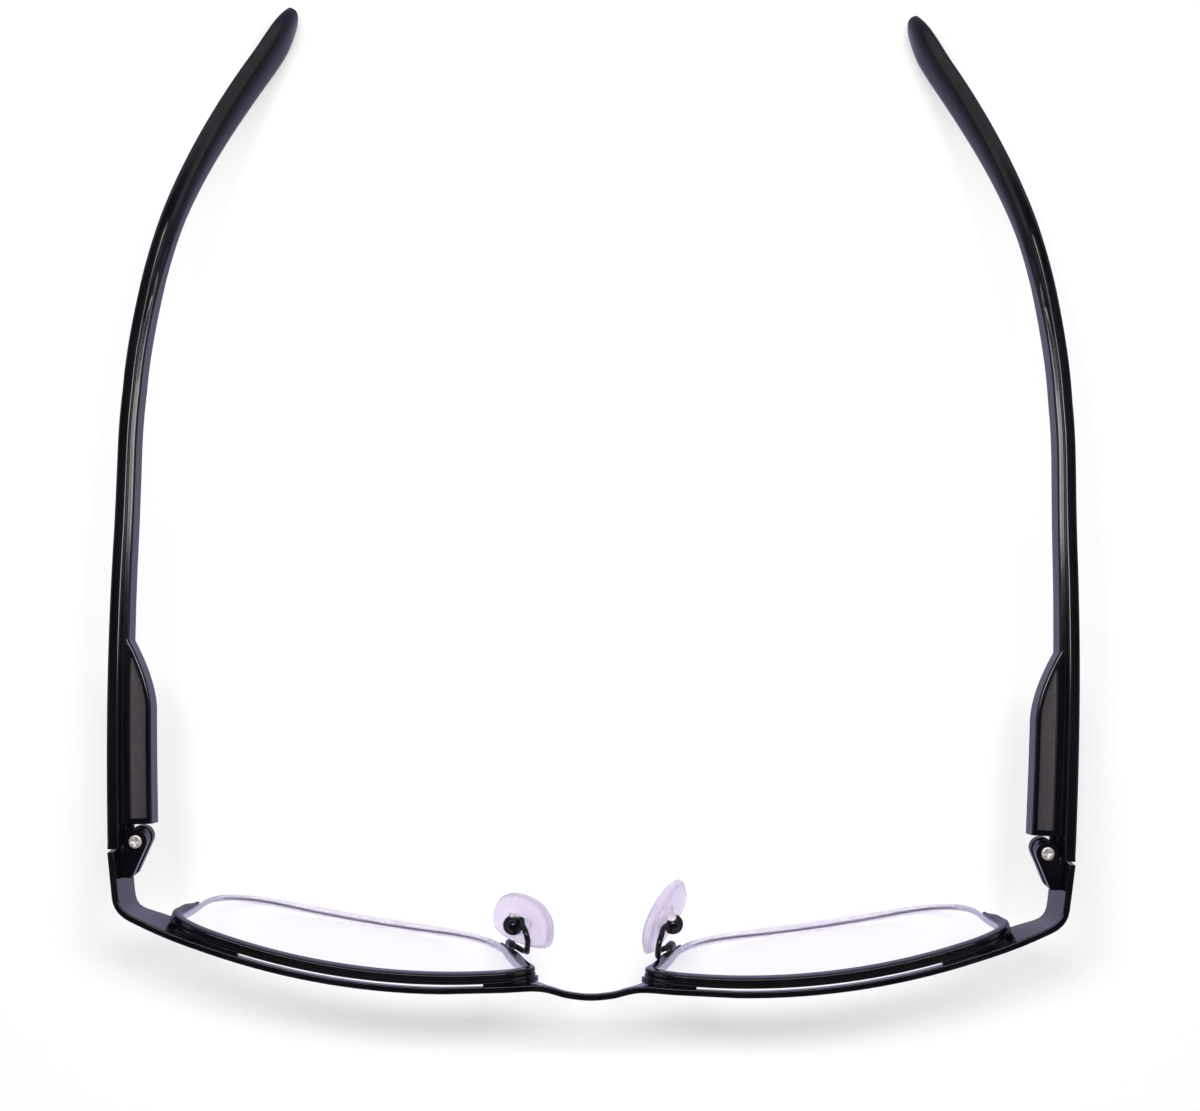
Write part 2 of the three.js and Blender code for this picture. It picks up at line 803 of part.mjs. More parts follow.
// Temple line: the top of the outer face, by distance back from the pin.
function armOuter(y) {
  const bulge = templeBulge * Math.sin(Math.PI * THREE.MathUtils.clamp(y / templeBulgeEnd, 0, 1));
  const sweep = Math.max(0, (y - templeSweepStart) / (templeLength - templeSweepStart));
  const bend = Math.max(0, (y - templeBendStart) / (templeLength - templeBendStart));
  const height = hingeHeight - y * templeFall - templeBend * bend ** 1.6;
  return vec3(halfFront + bulge - templeSweep * sweep ** 2, y, height);
}

// Frame of the temple there: inward across the arm, and upwards square to its line.
function armPlace(y) {
  const probe = armThickness / 50;
  const along = armOuter(y + probe).sub(armOuter(y - probe)).normalize();
  const inward = vec3(-along.y, along.x, 0).normalize();
  const up = along.clone().cross(inward).normalize();
  if (up.z < 0) up.negate();
  return { point: armOuter(y), inward, up };
}

function armRing(y, section) {
  const { point, inward, up } = armPlace(y);
  return section.map(([n, v]) => point.clone().addScaledVector(inward, n).addScaledVector(up, v));
}

function sweptArm(places, sectionAt) {
  const rings = places.map((y) => armRing(y, sectionAt(y)));
  return loft(rings, sectionAt(places[0]).map(([n, v]) => vec2(n, v)));
}

function armSection(y) {
  const share = y / templeLength;
  const half = eased(
    [[0, wallFrontHeight / 2], [0.5, wallMidHeight / 2], [0.72, wallMidHeight / 2], [0.92, tipHeight / 2]],
    share,
  );
  const thick = eased([[0.65, armThickness], [0.85, tipThickness]], share);
  const edge = eased([[0.6, armEdge], [0.8, tipEdge]], share);
  const wall = eased([[0.6, wallThickness], [0.8, tipThickness / 2]], share);
  const rib = Math.min(eased([[0.6, ribHeight / 2], [0.8, tipHeight / 2]], share), half - edge * 1.1);
  const end = THREE.MathUtils.clamp((y - templeLength + tipRound) / tipRound, 0, 0.97);
  const taper = Math.sqrt(1 - end ** 2);
  const section = [
    [0, half - edge],
    [edge, half],
    [wall - edge / 2, half],
    [wall, half - edge / 2],
    [wall, rib],
    [thick - edge, rib],
    [thick, rib - edge],
    [thick, edge - rib],
    [thick - edge, -rib],
    [wall, -rib],
    [wall, edge / 2 - half],
    [wall - edge / 2, -half],
    [edge, -half],
    [0, edge - half],
  ];
  return section.map(([n, v]) => [thick / 2 + (n - thick / 2) * taper, v * taper]);
}

// A straight-sided length of the arm's own space, for blocks and cuts.
function armBox(places, low, high, bottom, top) {
  const highAt = typeof high === "function" ? high : () => high;
  return sweptArm(places, (y) => [
    [low, bottom],
    [highAt(y), bottom],
    [highAt(y), top],
    [low, top],
  ]);
}

// Width of the block, which narrows to the arm as a fin does.
function blockInner(y) {
  const share = THREE.MathUtils.clamp((y - blockFull) / (blockBack - blockFull), 0, 1);
  return armThickness + (blockWidth - armThickness) * (1 - share ** 1.7);
}

function templeBlock() {
  const half = blockHeight / 2;
  const places = [...steps(blockFront, blockFull, 3), ...steps(blockFull, blockBack, 8).slice(1)];
  return sweptArm(places, (y) => {
    const inner = blockInner(y) - blockEdge / 4;
    return [
      [wallThickness / 2, -half],
      [inner - blockEdge, -half],
      [inner, blockEdge - half],
      [inner, half - blockEdge],
      [inner - blockEdge, half],
      [wallThickness / 2, half],
    ];
  });
}

function temple() {
  const tipStart = templeLength - tipRound;
  const arm = sweptArm(
    [
      ...steps(-wallFront - cutOverrun, templeBendStart * 0.6, 9),
      ...steps(templeBendStart * 0.6, templeBendStart, 8).slice(1),
      ...steps(templeBendStart, tipStart, 14).slice(1),
      ...steps(tipStart, templeLength, 6).slice(1),
    ],
    armSection,
  );
  const pocketStart = wallThickness + pocketOffset;
  const pocketPlaces = [
    ...steps(blockFront + pocketLip, blockFull, 2),
    ...steps(blockFull, pocketEnd, 6).slice(1),
  ];
  const pocket = armBox(
    pocketPlaces,
    pocketStart,
    (y) => Math.max(pocketStart + blockEdge / 2, blockInner(y) - pocketLip),
    blockHeight / 2 - pocketDepth,
    blockHeight / 2 + cutOverrun / 2,
  );
  const squareEnd = new THREE.BoxGeometry(lensWidth, browReach, lensHeight);
  squareEnd.translate(halfFront, -wallFront - browReach / 2, hingeHeight);
  const knuckleRoom = armBox(
    [-wallFront - 2 * cutOverrun, blockFront],
    wallThickness,
    blockWidth + cutOverrun,
    -wallFrontHeight,
    wallFrontHeight,
  );
  const slot = armBox(
    [0, shankEnd + shankGap],
    wallThickness,
    wallThickness + 2 * shankGap + shankThickness,
    -shankHeight / 2 - shankGap,
    shankHeight / 2 + shankGap,
  );
  return cut(join(arm, templeBlock()), pocket, knuckleRoom, slot, squareEnd);
}

// Temple leaf: the middle knuckle on a shank that is moulded into the arm.
function templeLeaf() {
  const low = wallThickness + shankGap;
  const shank = armBox(
    [shankStart, shankEnd],
    low,
    low + shankThickness,
    -shankHeight / 2,
    shankHeight / 2,
  );
  const knuckle = pinHole(knuckleRadius, -knuckleHeight / 2, knuckleHeight / 2);
  const through = pinHole(pinRadius + pinClearance, -knuckleHeight, knuckleHeight);
  return cut(join(knuckle, shank), through);
}

// Frame of a nose pad: its width way back and up, its long way upwards, and the way its back faces.
// It lies behind the brow and just outside the lens's nasal edge, as its box does.
function padFrame(name) {
  const { long, back } = padAimShares[name];
  const face = vec3(...back).normalize();
  const width = face.clone().cross(vec3(...long)).normalize();
  const upper = face.clone().cross(width).normalize();
  const place = new THREE.Matrix4().makeBasis(width, upper, face);
  const nasalEdge = outline.getPoint(shareAtHeight(-boxDrop, 0, topShare)).x;
  return place.setPosition(nasalEdge + boxPastLens[name], boxBehindBrow[name] - browReach, -boxDrop);
}

function inPadFrame(geometry, name) {
  return geometry.applyMatrix4(padFrame(name));
}

function padBlock(width, length, low, high) {
  return new THREE.BoxGeometry(width, length, high - low).translate(0, 0, (low + high) / 2);
}

function lyingPin(radius, from, to, sides) {
  const geometry = new THREE.CylinderGeometry(radius, radius, to - from, sides);
  return geometry.rotateZ(-Math.PI / 2).translate((from + to) / 2, 0, 0);
}

const tabSlot = tabThickness + 2 * tabRoom;

// Round body of a pad box, domed behind, grown by a margin.
function boxBody(margin) {
  const radius = boxRadius + margin;
  const foot = -boxLength - margin;
  const dome = steps(Math.PI / 2, 0, 5).map((turn) =>
    vec2(radius * Math.sin(turn), radius * Math.cos(turn)),
  );
  const profile = [vec2(0, foot), vec2(radius, foot), ...dome.slice(0, -1), vec2(0, radius)];
  const body = new THREE.LatheGeometry(profile, 20).rotateX(Math.PI / 2);
  return facingOut(mergeVertices(bareCopy(body), weld));
}

// Pad box: a cup with a slot for the pad's tab, and a sink for the head of its screw.
function padBox() {
  const slotLength = tabWidth + 2 * tabEndRoom;
  const slot = padBlock(tabSlot, slotLength, -boxLength - cutOverrun, boxFloor);
  const past = boxRadius + cutOverrun;
  const hole = lyingPin(padScrewRadius + padScrewRoom, -past, past, 12);
  const sink = lyingPin(padScrewHead + padScrewHeadRoom, padScrewSeat, past, 16);
  return cut(boxBody(0), slot, hole, sink);
}

// Pad screw: it crosses the box, with its slotted head on the upper side.
function padScrew() {
  const seat = padScrewSeat + padScrewStandOff;
  const top = seat + padScrewHeadHeight;
  const screw = join(
    lyingPin(padScrewRadius, -boxRadius, seat + padScrewHeadHeight / 2, 12),
    lyingPin(padScrewHead, seat, top, 16),
  );
  const slot = new THREE.BoxGeometry(crossDepth, padScrewHead * 3, crossWidth / 1.5).translate(top, 0, 0);
  return cut(screw, slot);
}

// Outline of a pad: a D with its flatter side to the front, and its middle a drop below its box.
function padOutline(scale, drop) {
  return steps(0, 2 * Math.PI, 32).slice(1).map((turn) => {
    const bow = Math.max(0, Math.cos(turn)) ** 0.85 * (1 - padFlatShare);
    const flat = Math.max(0, -Math.cos(turn)) ** 0.55 * padFlatShare;
    const rise = Math.sign(Math.sin(turn)) * Math.abs(Math.sin(turn)) ** 0.9;
    return vec2(scale * (bow - flat) * padWidth, (scale * rise * padLength) / 2 - drop);
  });
}

// Nose pad: soft silicone, flat behind, crowned towards the nose, with a pocket for its core.
function nosePad(name) {
  const back = -padBack;
  const levels = [
    [0.9, back],
    [0.98, back - padEdge / 3],
    [1, back - padEdge],
    [0.93, back - padThickness * 0.72],
    [0.72, back - padThickness * 0.93],
    [0.4, back - padThickness],
  ];
  const drop = padDrop[name];
  const rings = levels.map(([scale, z]) => padOutline(scale, drop).map(({ x, y }) => vec3(x, y, z)));
  const pocketRoom = 2 * coreClearance;
  const pocket = padBlock(
    coreWidth + pocketRoom,
    coreLength + pocketRoom,
    back - coreThickness - pocketRoom,
    back + cutOverrun,
  );
  return cut(loft(rings, padOutline(1, drop)), pocket);
}

// Core of the pad: a stiff plate in the pocket, with the tab that the screw holds.
function padCore() {
  const plateBack = -padBack - coreClearance;
  const plate = padBlock(coreWidth, coreLength, plateBack - coreThickness, plateBack);
  const tab = padBlock(tabThickness, tabWidth, plateBack - coreThickness / 2, tabReach);
  const end = lyingPin(tabWidth / 2, -tabThickness / 2, tabThickness / 2, 16);
  const hole = lyingPin(padScrewRadius + padScrewRoom, -tabThickness, tabThickness, 12);
  return cut(join(plate, tab, end), hole);
}

// Pad arm: a foot soldered behind the rim's nasal side, and a wire that loops back to the box.
function padArm(name) {
  const share = shareAtHeight(-footDrop, 0, topShare);
  const spread = footLength / 2 / outline.getLength();
  const section = () => [
    [seatGap, rimDepth / 2 + brazeClearance],
    [seatGap + footWidth, rimDepth / 2 + brazeClearance],
    [seatGap + footWidth, rimDepth / 2 + brazeClearance + footThickness],
    [seatGap + footWidth / 3, rimDepth / 2 + brazeClearance + footThickness],
  ];
  const foot = sweptEdge(share - spread, share + spread, section);
  const start = edgeRing(share, [[seatGap + footWidth / 2, rimDepth / 2 + footThickness / 2]])[0];
  const frame = padFrame(name);
  const entry = vec3(boxRadius / 4, 0, 0).applyMatrix4(frame);
  const box = new THREE.Vector3().setFromMatrixPosition(frame);
  const bends = wireBends[name].map((bend, i, { length }) =>
    start.clone().lerp(box, (i + 1) / (length + 1)).add(vec3(...bend)),
  );
  const route = new THREE.CatmullRomCurve3([start, ...bends, entry]);
  const ring = circlePoints(vec2(0, 0), wireDiameter / 2, 8);
  const count = 20;
  const frames = route.computeFrenetFrames(count, false);
  const rings = steps(0, 1, count).map((t, i) => {
    const centre = route.getPointAt(t);
    return ring.map(({ x, y }) =>
      centre.clone().addScaledVector(frames.normals[i], x).addScaledVector(frames.binormals[i], y),
    );
  });
  return cut(join(foot, loft(rings, ring)), boxBody(brazeClearance).applyMatrix4(frame));
}

for (const [name, side] of [["right", -1], ["left", 1]]) {
  add(`rim_${name}`, onSide(rim(), side), "enamel");
  add(`rim_liner_${name}`, onSide(rimLiner(), side), "nylon");
  add(`lens_${name}`, onSide(lens(), side), "clear");
  add(`nylon_cord_${name}`, onSide(nylonCord(), side), "nylon");
  add(`nasal_braze_${name}`, onSide(brazePad(brazeNasalStart, brazeNasalEnd), side), "enamel");
  add(`outer_braze_${name}`, onSide(brazePad(brazeTempleStart, brazeTempleEnd), side), "enamel");
  add(`front_hinge_leaf_${name}`, onSide(frontLeaf(), side), "enamel");
  add(`hinge_screw_${name}`, onSide(hingeScrew(), side), "steel");
  add(`temple_${name}`, onSide(temple(), side), "moulded");
  add(`temple_hinge_leaf_${name}`, onSide(templeLeaf(), side), "enamel");
  add(`pad_arm_${name}`, onSide(padArm(name), side), "enamel");
  add(`pad_box_${name}`, onSide(inPadFrame(padBox(), name), side), "enamel");
  add(`pad_screw_${name}`, onSide(inPadFrame(padScrew(), name), side), "steel");
  add(`pad_core_${name}`, onSide(inPadFrame(padCore(), name), side), "clear");
  add(`nose_pad_${name}`, onSide(inPadFrame(nosePad(name), name), side), "silicone");
}
add("brow_plate", browPlate(), "enamel");

// Lowest point of some pieces once the whole is tipped back by an angle.
function lowest(pieces, tip) {
  const turn = new THREE.Matrix4().makeRotationX(tip);
  const heights = pieces.map((piece) => {
    const copy = piece.geometry.clone().applyMatrix4(turn);
    copy.computeBoundingBox();
    return copy.boundingBox.min.z;
  });
  return Math.min(...heights);
}

// The tip at which the temples and the lenses touch the table together.
function standingTip() {
  const temples = glasses.children.filter(({ name }) => name.startsWith("temple_"));
  const front = glasses.children.filter((piece) => !temples.includes(piece));
  let [low, high] = [-0.4, 0.4];
  for (let i = 0; i < 30; i++) {
    const middle = (low + high) / 2;
    if (lowest(temples, middle) < lowest(front, middle)) low = middle;
    else high = middle;
  }
  return (low + high) / 2;
}

glasses.rotation.x = standingTip();
glasses.updateMatrixWorld(true);
const extent = new THREE.Box3().setFromObject(glasses, true);
const middle = extent.getCenter(vec3(0, 0, 0));
glasses.position.set(-middle.x, -middle.y, -extent.min.z);

export default glasses;
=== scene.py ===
"""Square half-rim reading glasses, seen from above with the temples open."""

import json
import math

import bmesh
import bpy
import numpy as np
from mathutils import Matrix, Vector


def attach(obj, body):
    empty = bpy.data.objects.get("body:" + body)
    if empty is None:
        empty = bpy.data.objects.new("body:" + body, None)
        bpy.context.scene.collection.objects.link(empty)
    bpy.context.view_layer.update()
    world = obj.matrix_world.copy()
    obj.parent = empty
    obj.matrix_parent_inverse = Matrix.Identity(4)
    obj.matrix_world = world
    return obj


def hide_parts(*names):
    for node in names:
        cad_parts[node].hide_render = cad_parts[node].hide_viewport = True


MM = 0.001
SIDES = {"right": -1, "left": 1}

# Kinds of node that are modelled afresh; the others are carried over from the CAD
MODELLED = (
    "rim", "nasal_braze", "outer_braze", "lens", "nylon_cord", "temple", "nose_pad", "pad_box", "pad_arm",
)

# Camera of the photograph: a pinhole over the glasses, looking straight down
CAMERA_PLACE = Vector((0.685, -11.26, 336.3)) * MM
CAMERA_ROLL = math.radians(0.75)
CAMERA_FOCAL = 60.75
SENSOR = 36.0

# Drawn with the rims' top at height 0 and the hinge pins at depth 0, then tipped back and stood on the table
STAND_PLACE = Vector((0, -55.1671, 37.0524))
STAND_TIP = 0.0345274

# Lens and rim, in millimetres
LENS_BETWEEN, LENS_WIDTH, LENS_HEIGHT = 18.1, 53.4, 33.6
LENS_MIDDLE_THICKNESS, LENS_EDGE_THICKNESS, LENS_BEVEL = 2.3, 1.3, 0.12
CREST_DROP, FOOT_WRAP = 2.0, 1.6
GROOVE_WIDTH, GROOVE_DEPTH = 0.6, 0.5
CORD_DIAMETER, CORD_SINK, CORD_END_GAP = 0.48, 0.26, 0.3
RIM_TOP, RIM_SIDE, RIM_END = 2.2, 1.4, 0.6
RIM_DEPTH, RIM_END_DEPTH, RIM_EDGE, RIM_LIP = 1.7, 1.35, 0.3, 0.1
FLUTE_WIDTH, FLUTE_DEPTH = 0.4, 0.3
RIM_RECESS, RIM_END_RECESS = 0.12, 0.0
BRACE_HEIGHT, BRACE_SEAT, BRACE_EDGE = 1.6, 0.05, 0.12
NASAL_BRACE_INSET, NASAL_BRACE_LENGTH = 0.6, 6.35
OUTER_BRACE_INSET, OUTER_BRACE_LENGTH = 2.05, 8.4
CHANNEL_WIDTH, CHANNEL_DEPTH = 0.44, 0.45
NASAL_DROP, TEMPLE_DROP = 28.0, 19.5
SEAT_GAP = 0.12

# Corners of the lens: shares of its width across and its height down, and the curve's share of its width
LENS_CORNERS = [
    (0.12, 0.943, 0.2),
    (0, 0.018, 0.1),
    (0.5, -0.018, 0.36),
    (1, 0.018, 0.115),
    (0.977, 0.93, 0.25),
    (0.52, 1.035, 0.18),
]

# The cord's groove, from its front lip to its rear one: shares of its depth and of its width
GROOVE_PROFILE = [(0, -0.5), (0.6, -0.45), (1, -0.3), (1, 0.3), (0.6, 0.45), (0, 0.5)]

# Shares of the climb from the rim's end: where it is fully grown, and where its side turns into the top
RIM_GROWN, RIM_TURN, RIM_TURNED = 0.35, 0.8, 0.97

# Front plan
ENDPIECE_OUT, CORNER_INSET, CORNER_ROUND, ENDPIECE_DEPTH = 9.5, 1.2, 2.4, 10.34
BROW_RADIUS, BROW_ROUND_OUT = 110.0, 12.95
PLATE_THICKNESS, BRACE_GAP = 1.0, 0.7
BROW_ARCH, BROW_CREST = 0.4, 0.68

# Hinge and temple
HINGE_DROP = 5.4
TEMPLE_LENGTH, TEMPLE_SLOPE = 132.1, 5.9
TEMPLE_SWEEP, TEMPLE_SWEEP_START = 20.6, 58.5
TEMPLE_BULGE, TEMPLE_BULGE_END = 0.95, 68.0
TEMPLE_BEND, TEMPLE_BEND_START, TEMPLE_BEND_POWER = 20.0, 93.5, 1.6
WALL_FRONT, WALL_THICKNESS, WALL_FRONT_HEIGHT, WALL_MID_HEIGHT = 0.7, 1.7, 11.0, 6.8
TIP_HEIGHT, TIP_THICKNESS, TIP_ROUND, TIP_EDGE = 7.4, 2.9, 1.2, 0.7
TIP_CROWN, TIP_NARROWING = 2.7, 2.2
TIP_TRIM, TIP_SLANT, TIP_NOSE, TIP_FALL, TIP_TWIST = 0.65, 7.4, 0.5, 6.0, 8.0
ARM_THICKNESS, ARM_EDGE, ARM_ROUNDING, RIB_HEIGHT = 2.6, 0.4, 0.12, 4.8
BLOCK_FRONT, BLOCK_FULL, BLOCK_BACK, BLOCK_POWER = 2.1, 19.3, 29.9, 1.7
BLOCK_WIDTH, BLOCK_HEIGHT, BLOCK_EDGE = 6.1, 4.8, 0.4
POCKET_LIP, POCKET_OFFSET, POCKET_DEPTH, POCKET_END, POCKET_ROUNDING = 0.85, 1.1, 1.0, 27.3, 0.25
SHANK_END, SHANK_HEIGHT, SHANK_THICKNESS, SHANK_GAP = 9.3, 1.4, 0.8, 0.15

# Places along the temple, and how far it stands out there from its plain curve
TEMPLE_EASE = [(45, 0), (72, 0.6), (84, 0.5), (121, -1.0), (132.1, -0.3)]

# Shares of the temple's length over which the wall tapers and turns into the tip, swells and leans in
WALL_TAPER, TIP_BLEND, TIP_SWELL, TIP_LEAN = (0, 0.5), (0.58, 0.76), (0.72, 0.92), (0.7, 0.9)

# Shares of a quarter round that the tip's falling height and its rounded end run through
TIP_FALL_REACH, TIP_ROUND_REACH = 0.9, 0.985

# How far a cutting tool runs past what it cuts
OVERRUN = 2.0

# Nose pads, their boxes and wires
BOX_PAST_LENS = {"right": 0.04, "left": 0.75}
BOX_BEHIND_BROW = {"right": 6.8, "left": 7.3}
BOX_DROP, BOX_RADIUS, BOX_LENGTH, BOX_FLOOR, BOX_EDGE = 18.0, 1.6, 0.55, 1.05, 0.15
PAD_LENGTH, PAD_WIDTH, PAD_THICKNESS, PAD_BACK = 13.6, 7.8, 2.1, 1.05
PAD_DROP = {"right": -0.3, "left": 0.7}
CORE_LENGTH, CORE_WIDTH, CORE_THICKNESS, CORE_ROOM, CORE_EDGE = 4.8, 2.6, 0.7, 0.1, 0.5
TAB_SLOT, TAB_SLOT_LENGTH = 1.12, 2.0
SINK_RADIUS, SINK_SEAT, BORE_RADIUS = 0.85, 1.12, 0.39
WIRE_DIAMETER, WIRE_CLEAR = 0.9, 0.1
FOOT_LENGTH, FOOT_WIDTH, FOOT_THICKNESS, FOOT_DROP = 4.2, 1.5, 1.1, 24.2

# The pad's outline: its flat side's share of the width, and the powers that round its bow, flat and ends
PAD_FLAT, PAD_BOW_POWER, PAD_FLAT_POWER, PAD_END_POWER = 0.4, 0.85, 0.55, 0.9

# Share of the pad's outline, and rise over its skin side, from the crown round the edge to the raised seat
PAD_PROFILE = [
    (0.12, 0), (0.24, 0.01), (0.4, 0.045), (0.54, 0.1), (0.66, 0.19), (0.77, 0.32), (0.86, 0.49),
    (0.93, 0.72), (0.97, 0.9), (0.992, 1.03), (1.0, 1.12), (0.994, 1.3), (0.972, 1.55), (0.94, 1.8),
    (0.905, 1.96), (0.865, 2.06), (0.82, 2.1), (0.74, 2.1), (0.66, 2.1), (0.645, 2.09), (0.63, 2.06),
    (0.615, 2.09), (0.6, 2.1), (0.5, 2.1), (0.3, 2.1), (0.15, 2.1),
]

# Each pad's long axis, and the way from its skin side to its back
PAD_AIMS = {
    "right": ((0.706, 0.079, -0.704), (0.703, 0.038, 0.71)),
    "left": ((0.478, 0.579, -0.66), (0.864, -0.175, 0.472)),
}

# The foot's dome: powers along and across it, how near its ends come to nothing, and its width's two shares
FOOT_POWER, FOOT_DOME_POWER, FOOT_CLOSING, FOOT_SHARES = 3.2, 0.8, 0.995, (0.45, 0.55)

# Bends of each wire, as shifts from the straight line between its foot and its box
WIRE_BENDS = {
    "right": [
        (-1.94, -1.1, 1.33), (-2.54, -1.13, 2.53), (-2.57, -1.32, 4.03), (-2.59, -0.85, 5.63),
        (-2.67, 0.15, 5.82), (-2.24, 1.02, 4.92), (-1.63, 1.54, 3.41), (-1.43, 1.64, 2.11),
    ],
    "left": [
        (-1.42, -0.8, 1.02), (-2.06, -1.09, 2.43), (-2.21, -1.59, 4.22), (-2.26, -1.63, 6.53),
        (-2.28, -0.43, 7.32), (-2.15, -0.17, 6.5), (-1.78, 0.44, 5.12), (-1.58, 0.44, 3.4),
    ],
}

# Light: the sky's colour by height, from straight below to overhead, and a strip lamp over the temple tips
SKY_STRENGTH = 1.4
SKY_BANDS = [
    (0.0, (0.3, 0.28, 0.42)),
    (0.49, (0.3, 0.28, 0.42)),
    (0.51, (0.6, 0.59, 0.63)),
    (0.62, (1.0, 0.99, 1.05)),
    (0.8, (1.0, 0.99, 1.05)),
    (0.88, (0.12, 0.12, 0.14)),
    (0.95, (0.01, 0.01, 0.012)),
]
KEY_PLACE, KEY_TARGET = (0.0, 0.06, 0.36), (0, -0.02, 0)
KEY_WIDTH, KEY_DEPTH, KEY_POWER = 0.22, 0.05, 0.9
FLOOR_HALF = 3.0

# Fineness: steps along the curves, and points round the sections and circles
STRAIGHT_STEPS, CURVE_STEPS, SEARCH_STEPS = 120, 240, 6000
OUTLINE_STEPS, FACE_STEPS, BRACE_STEPS, CORD_STEPS, CORD_SIDES = 260, 22, 24, 200, 16
LIP_STEPS, EDGE_STEPS, FLUTE_STEPS = 3, 6, 9
ARM_STEPS, TIP_STEPS, BLOCK_STEPS, POCKET_STEPS = 152, 14, (8, 30), (6, 24)
SECTION_STEPS, CROWN_STEPS = 6, 36
PAD_SIDES, CUP_SIDES, CUP_STEPS, BORE_SIDES = 96, 48, 22, 40
FOOT_STEPS, FOOT_SIDES, KNOT_STEPS, WIRE_STEPS, WIRE_SIDES = 26, 14, 40, 120, 20

# Rounding of the edges of carried-over nodes
PLATE_ROUNDING = 0.2
ROUNDINGS = {"enamel": 0.08, "nylon": 0.02, "screw_steel": 0.04, "pad_core_plastic": 0.05}

# Places that follow from the sizes
LENS_NASAL = LENS_BETWEEN / 2
LENS_MIDDLE = LENS_NASAL + LENS_WIDTH / 2
LENS_OUTER = LENS_NASAL + LENS_WIDTH
HALF_FRONT = LENS_OUTER + ENDPIECE_OUT
BROW_FLAT = LENS_NASAL + BROW_ROUND_OUT
BROW_SPAN = math.asin((HALF_FRONT - CORNER_INSET - CORNER_ROUND - BROW_FLAT) / BROW_RADIUS)
BROW_SAG = BROW_RADIUS * (1 - math.cos(BROW_SPAN)) + CORNER_ROUND * math.tan(BROW_SPAN)
BROW_REACH = ENDPIECE_DEPTH + BROW_SAG
LENS_TOP = -(RIM_TOP + SEAT_GAP)
LENS_MID_HEIGHT = LENS_TOP - LENS_HEIGHT / 2
BAR_HEIGHT = LENS_TOP + SEAT_GAP + RIM_TOP / 2
CREST_HEIGHT = LENS_MID_HEIGHT - CREST_DROP
BALL_RISE = math.sqrt(BROW_RADIUS**2 - (BAR_HEIGHT - CREST_HEIGHT) ** 2)
BALL = (BROW_FLAT, -BROW_REACH + PLATE_THICKNESS + BRACE_GAP + RIM_DEPTH / 2 + BALL_RISE, CREST_HEIGHT)
TEMPLE_FALL = math.tan(math.radians(TEMPLE_SLOPE))
ARM_END = TEMPLE_LENGTH - TIP_TRIM
TIP_TURNS = np.linspace(0.04, math.pi / 2, SECTION_STEPS)

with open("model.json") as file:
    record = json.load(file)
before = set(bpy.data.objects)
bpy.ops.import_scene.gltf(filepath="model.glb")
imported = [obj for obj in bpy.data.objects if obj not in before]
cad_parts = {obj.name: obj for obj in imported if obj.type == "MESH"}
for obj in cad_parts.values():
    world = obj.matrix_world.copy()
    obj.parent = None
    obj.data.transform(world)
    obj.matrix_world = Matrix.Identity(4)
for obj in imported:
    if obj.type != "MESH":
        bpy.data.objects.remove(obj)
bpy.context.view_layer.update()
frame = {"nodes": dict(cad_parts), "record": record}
stand = Matrix.Translation(STAND_PLACE * MM) @ Matrix.Rotation(STAND_TIP, 4, "X") @ Matrix.Scale(MM, 4)


# Meshes

def unit(rows):
    rows = np.asarray(rows, float)
    return rows / np.linalg.norm(rows, axis=-1, keepdims=True)


def share_past(place, start, run):
    return min(max((place - start) / run, 0), 1)


def eased(table, place):
    """Reads rows of place and value, with a smooth step from each row to the next."""
    if place <= table[0][0]:
        return table[0][1]
    for (start, low), (end, high) in zip(table, table[1:]):
        if place <= end:
            share = (place - start) / (end - start)
            return low + (high - low) * share * share * (3 - 2 * share)
    return table[-1][1]


def oblong(left, low, right, high):
    """Corners of an upright rectangle."""
    return [(left, low), (right, low), (right, high), (left, high)]


def step_over(places, low, high, place):
    """Smooth step from one value to another between two places."""
    return eased([(places[0], low), (places[1], high)], place)


def two_runs(places, counts):
    """Places from the first through the second to the third, in so many steps each."""
    start, middle, end = places
    return [*np.linspace(start, middle, counts[0]), *np.linspace(middle, end, counts[1])[1:]]


def full_turn(count):
    return np.linspace(0, 2 * math.pi, count, endpoint=False)


def arc(middle, radius, start, end, count):
    """Points on a round corner, from one turn to another in degrees."""
    turns = np.radians(np.linspace(start, end, count))
    return [(middle[0] + radius * math.cos(t), middle[1] + radius * math.sin(t)) for t in turns]


class Builder:
    """Gathers points and faces of one mesh, in the glasses' own millimetres."""

    def __init__(self):
        self.points = []
        self.faces = []

    def ring(self, points):
        first = len(self.points)
        self.points += [tuple(map(float, p)) for p in points]
        return list(range(first, first + len(points)))

    def band(self, a, b, closed=True):
        count = len(a)
        for i in range(count if closed else count - 1):
            j = (i + 1) % count
            self.faces.append((a[i], a[j], b[j], b[i]))

    def cap(self, ring):
        self.faces.append(tuple(ring))

    def fan(self, ring, centre):
        middle = self.ring([centre])[0]
        for i, a in enumerate(ring):
            self.faces.append((a, ring[(i + 1) % len(ring)], middle))

    def loft(self, rings, ends=True):
        kept = [self.ring(ring) for ring in rings]
        for a, b in zip(kept, kept[1:]):
            self.band(a, b)
        if ends:
            self.cap(kept[0])
            self.cap(kept[-1])
        return kept

    def piece(self, name, side=1):
        mesh = bpy.data.meshes.new(name)
        mesh.from_pydata(self.points, [], self.faces)
        mesh.transform(stand @ Matrix.Diagonal((side, 1, 1, 1)))
        work = bmesh.new()
        work.from_mesh(mesh)
        bmesh.ops.recalc_face_normals(work, faces=work.faces)
        work.to_mesh(mesh)
        work.free()
        piece = bpy.data.objects.new(name, mesh)
        bpy.context.scene.collection.objects.link(piece)
        return piece


def smooth(piece, turn=35.0):
    """Smooth shading, with edges kept sharp where the surface turns more than an angle."""
    piece.data.shade_smooth()
    piece.data.set_sharp_from_angle(angle=math.radians(turn))
    return piece


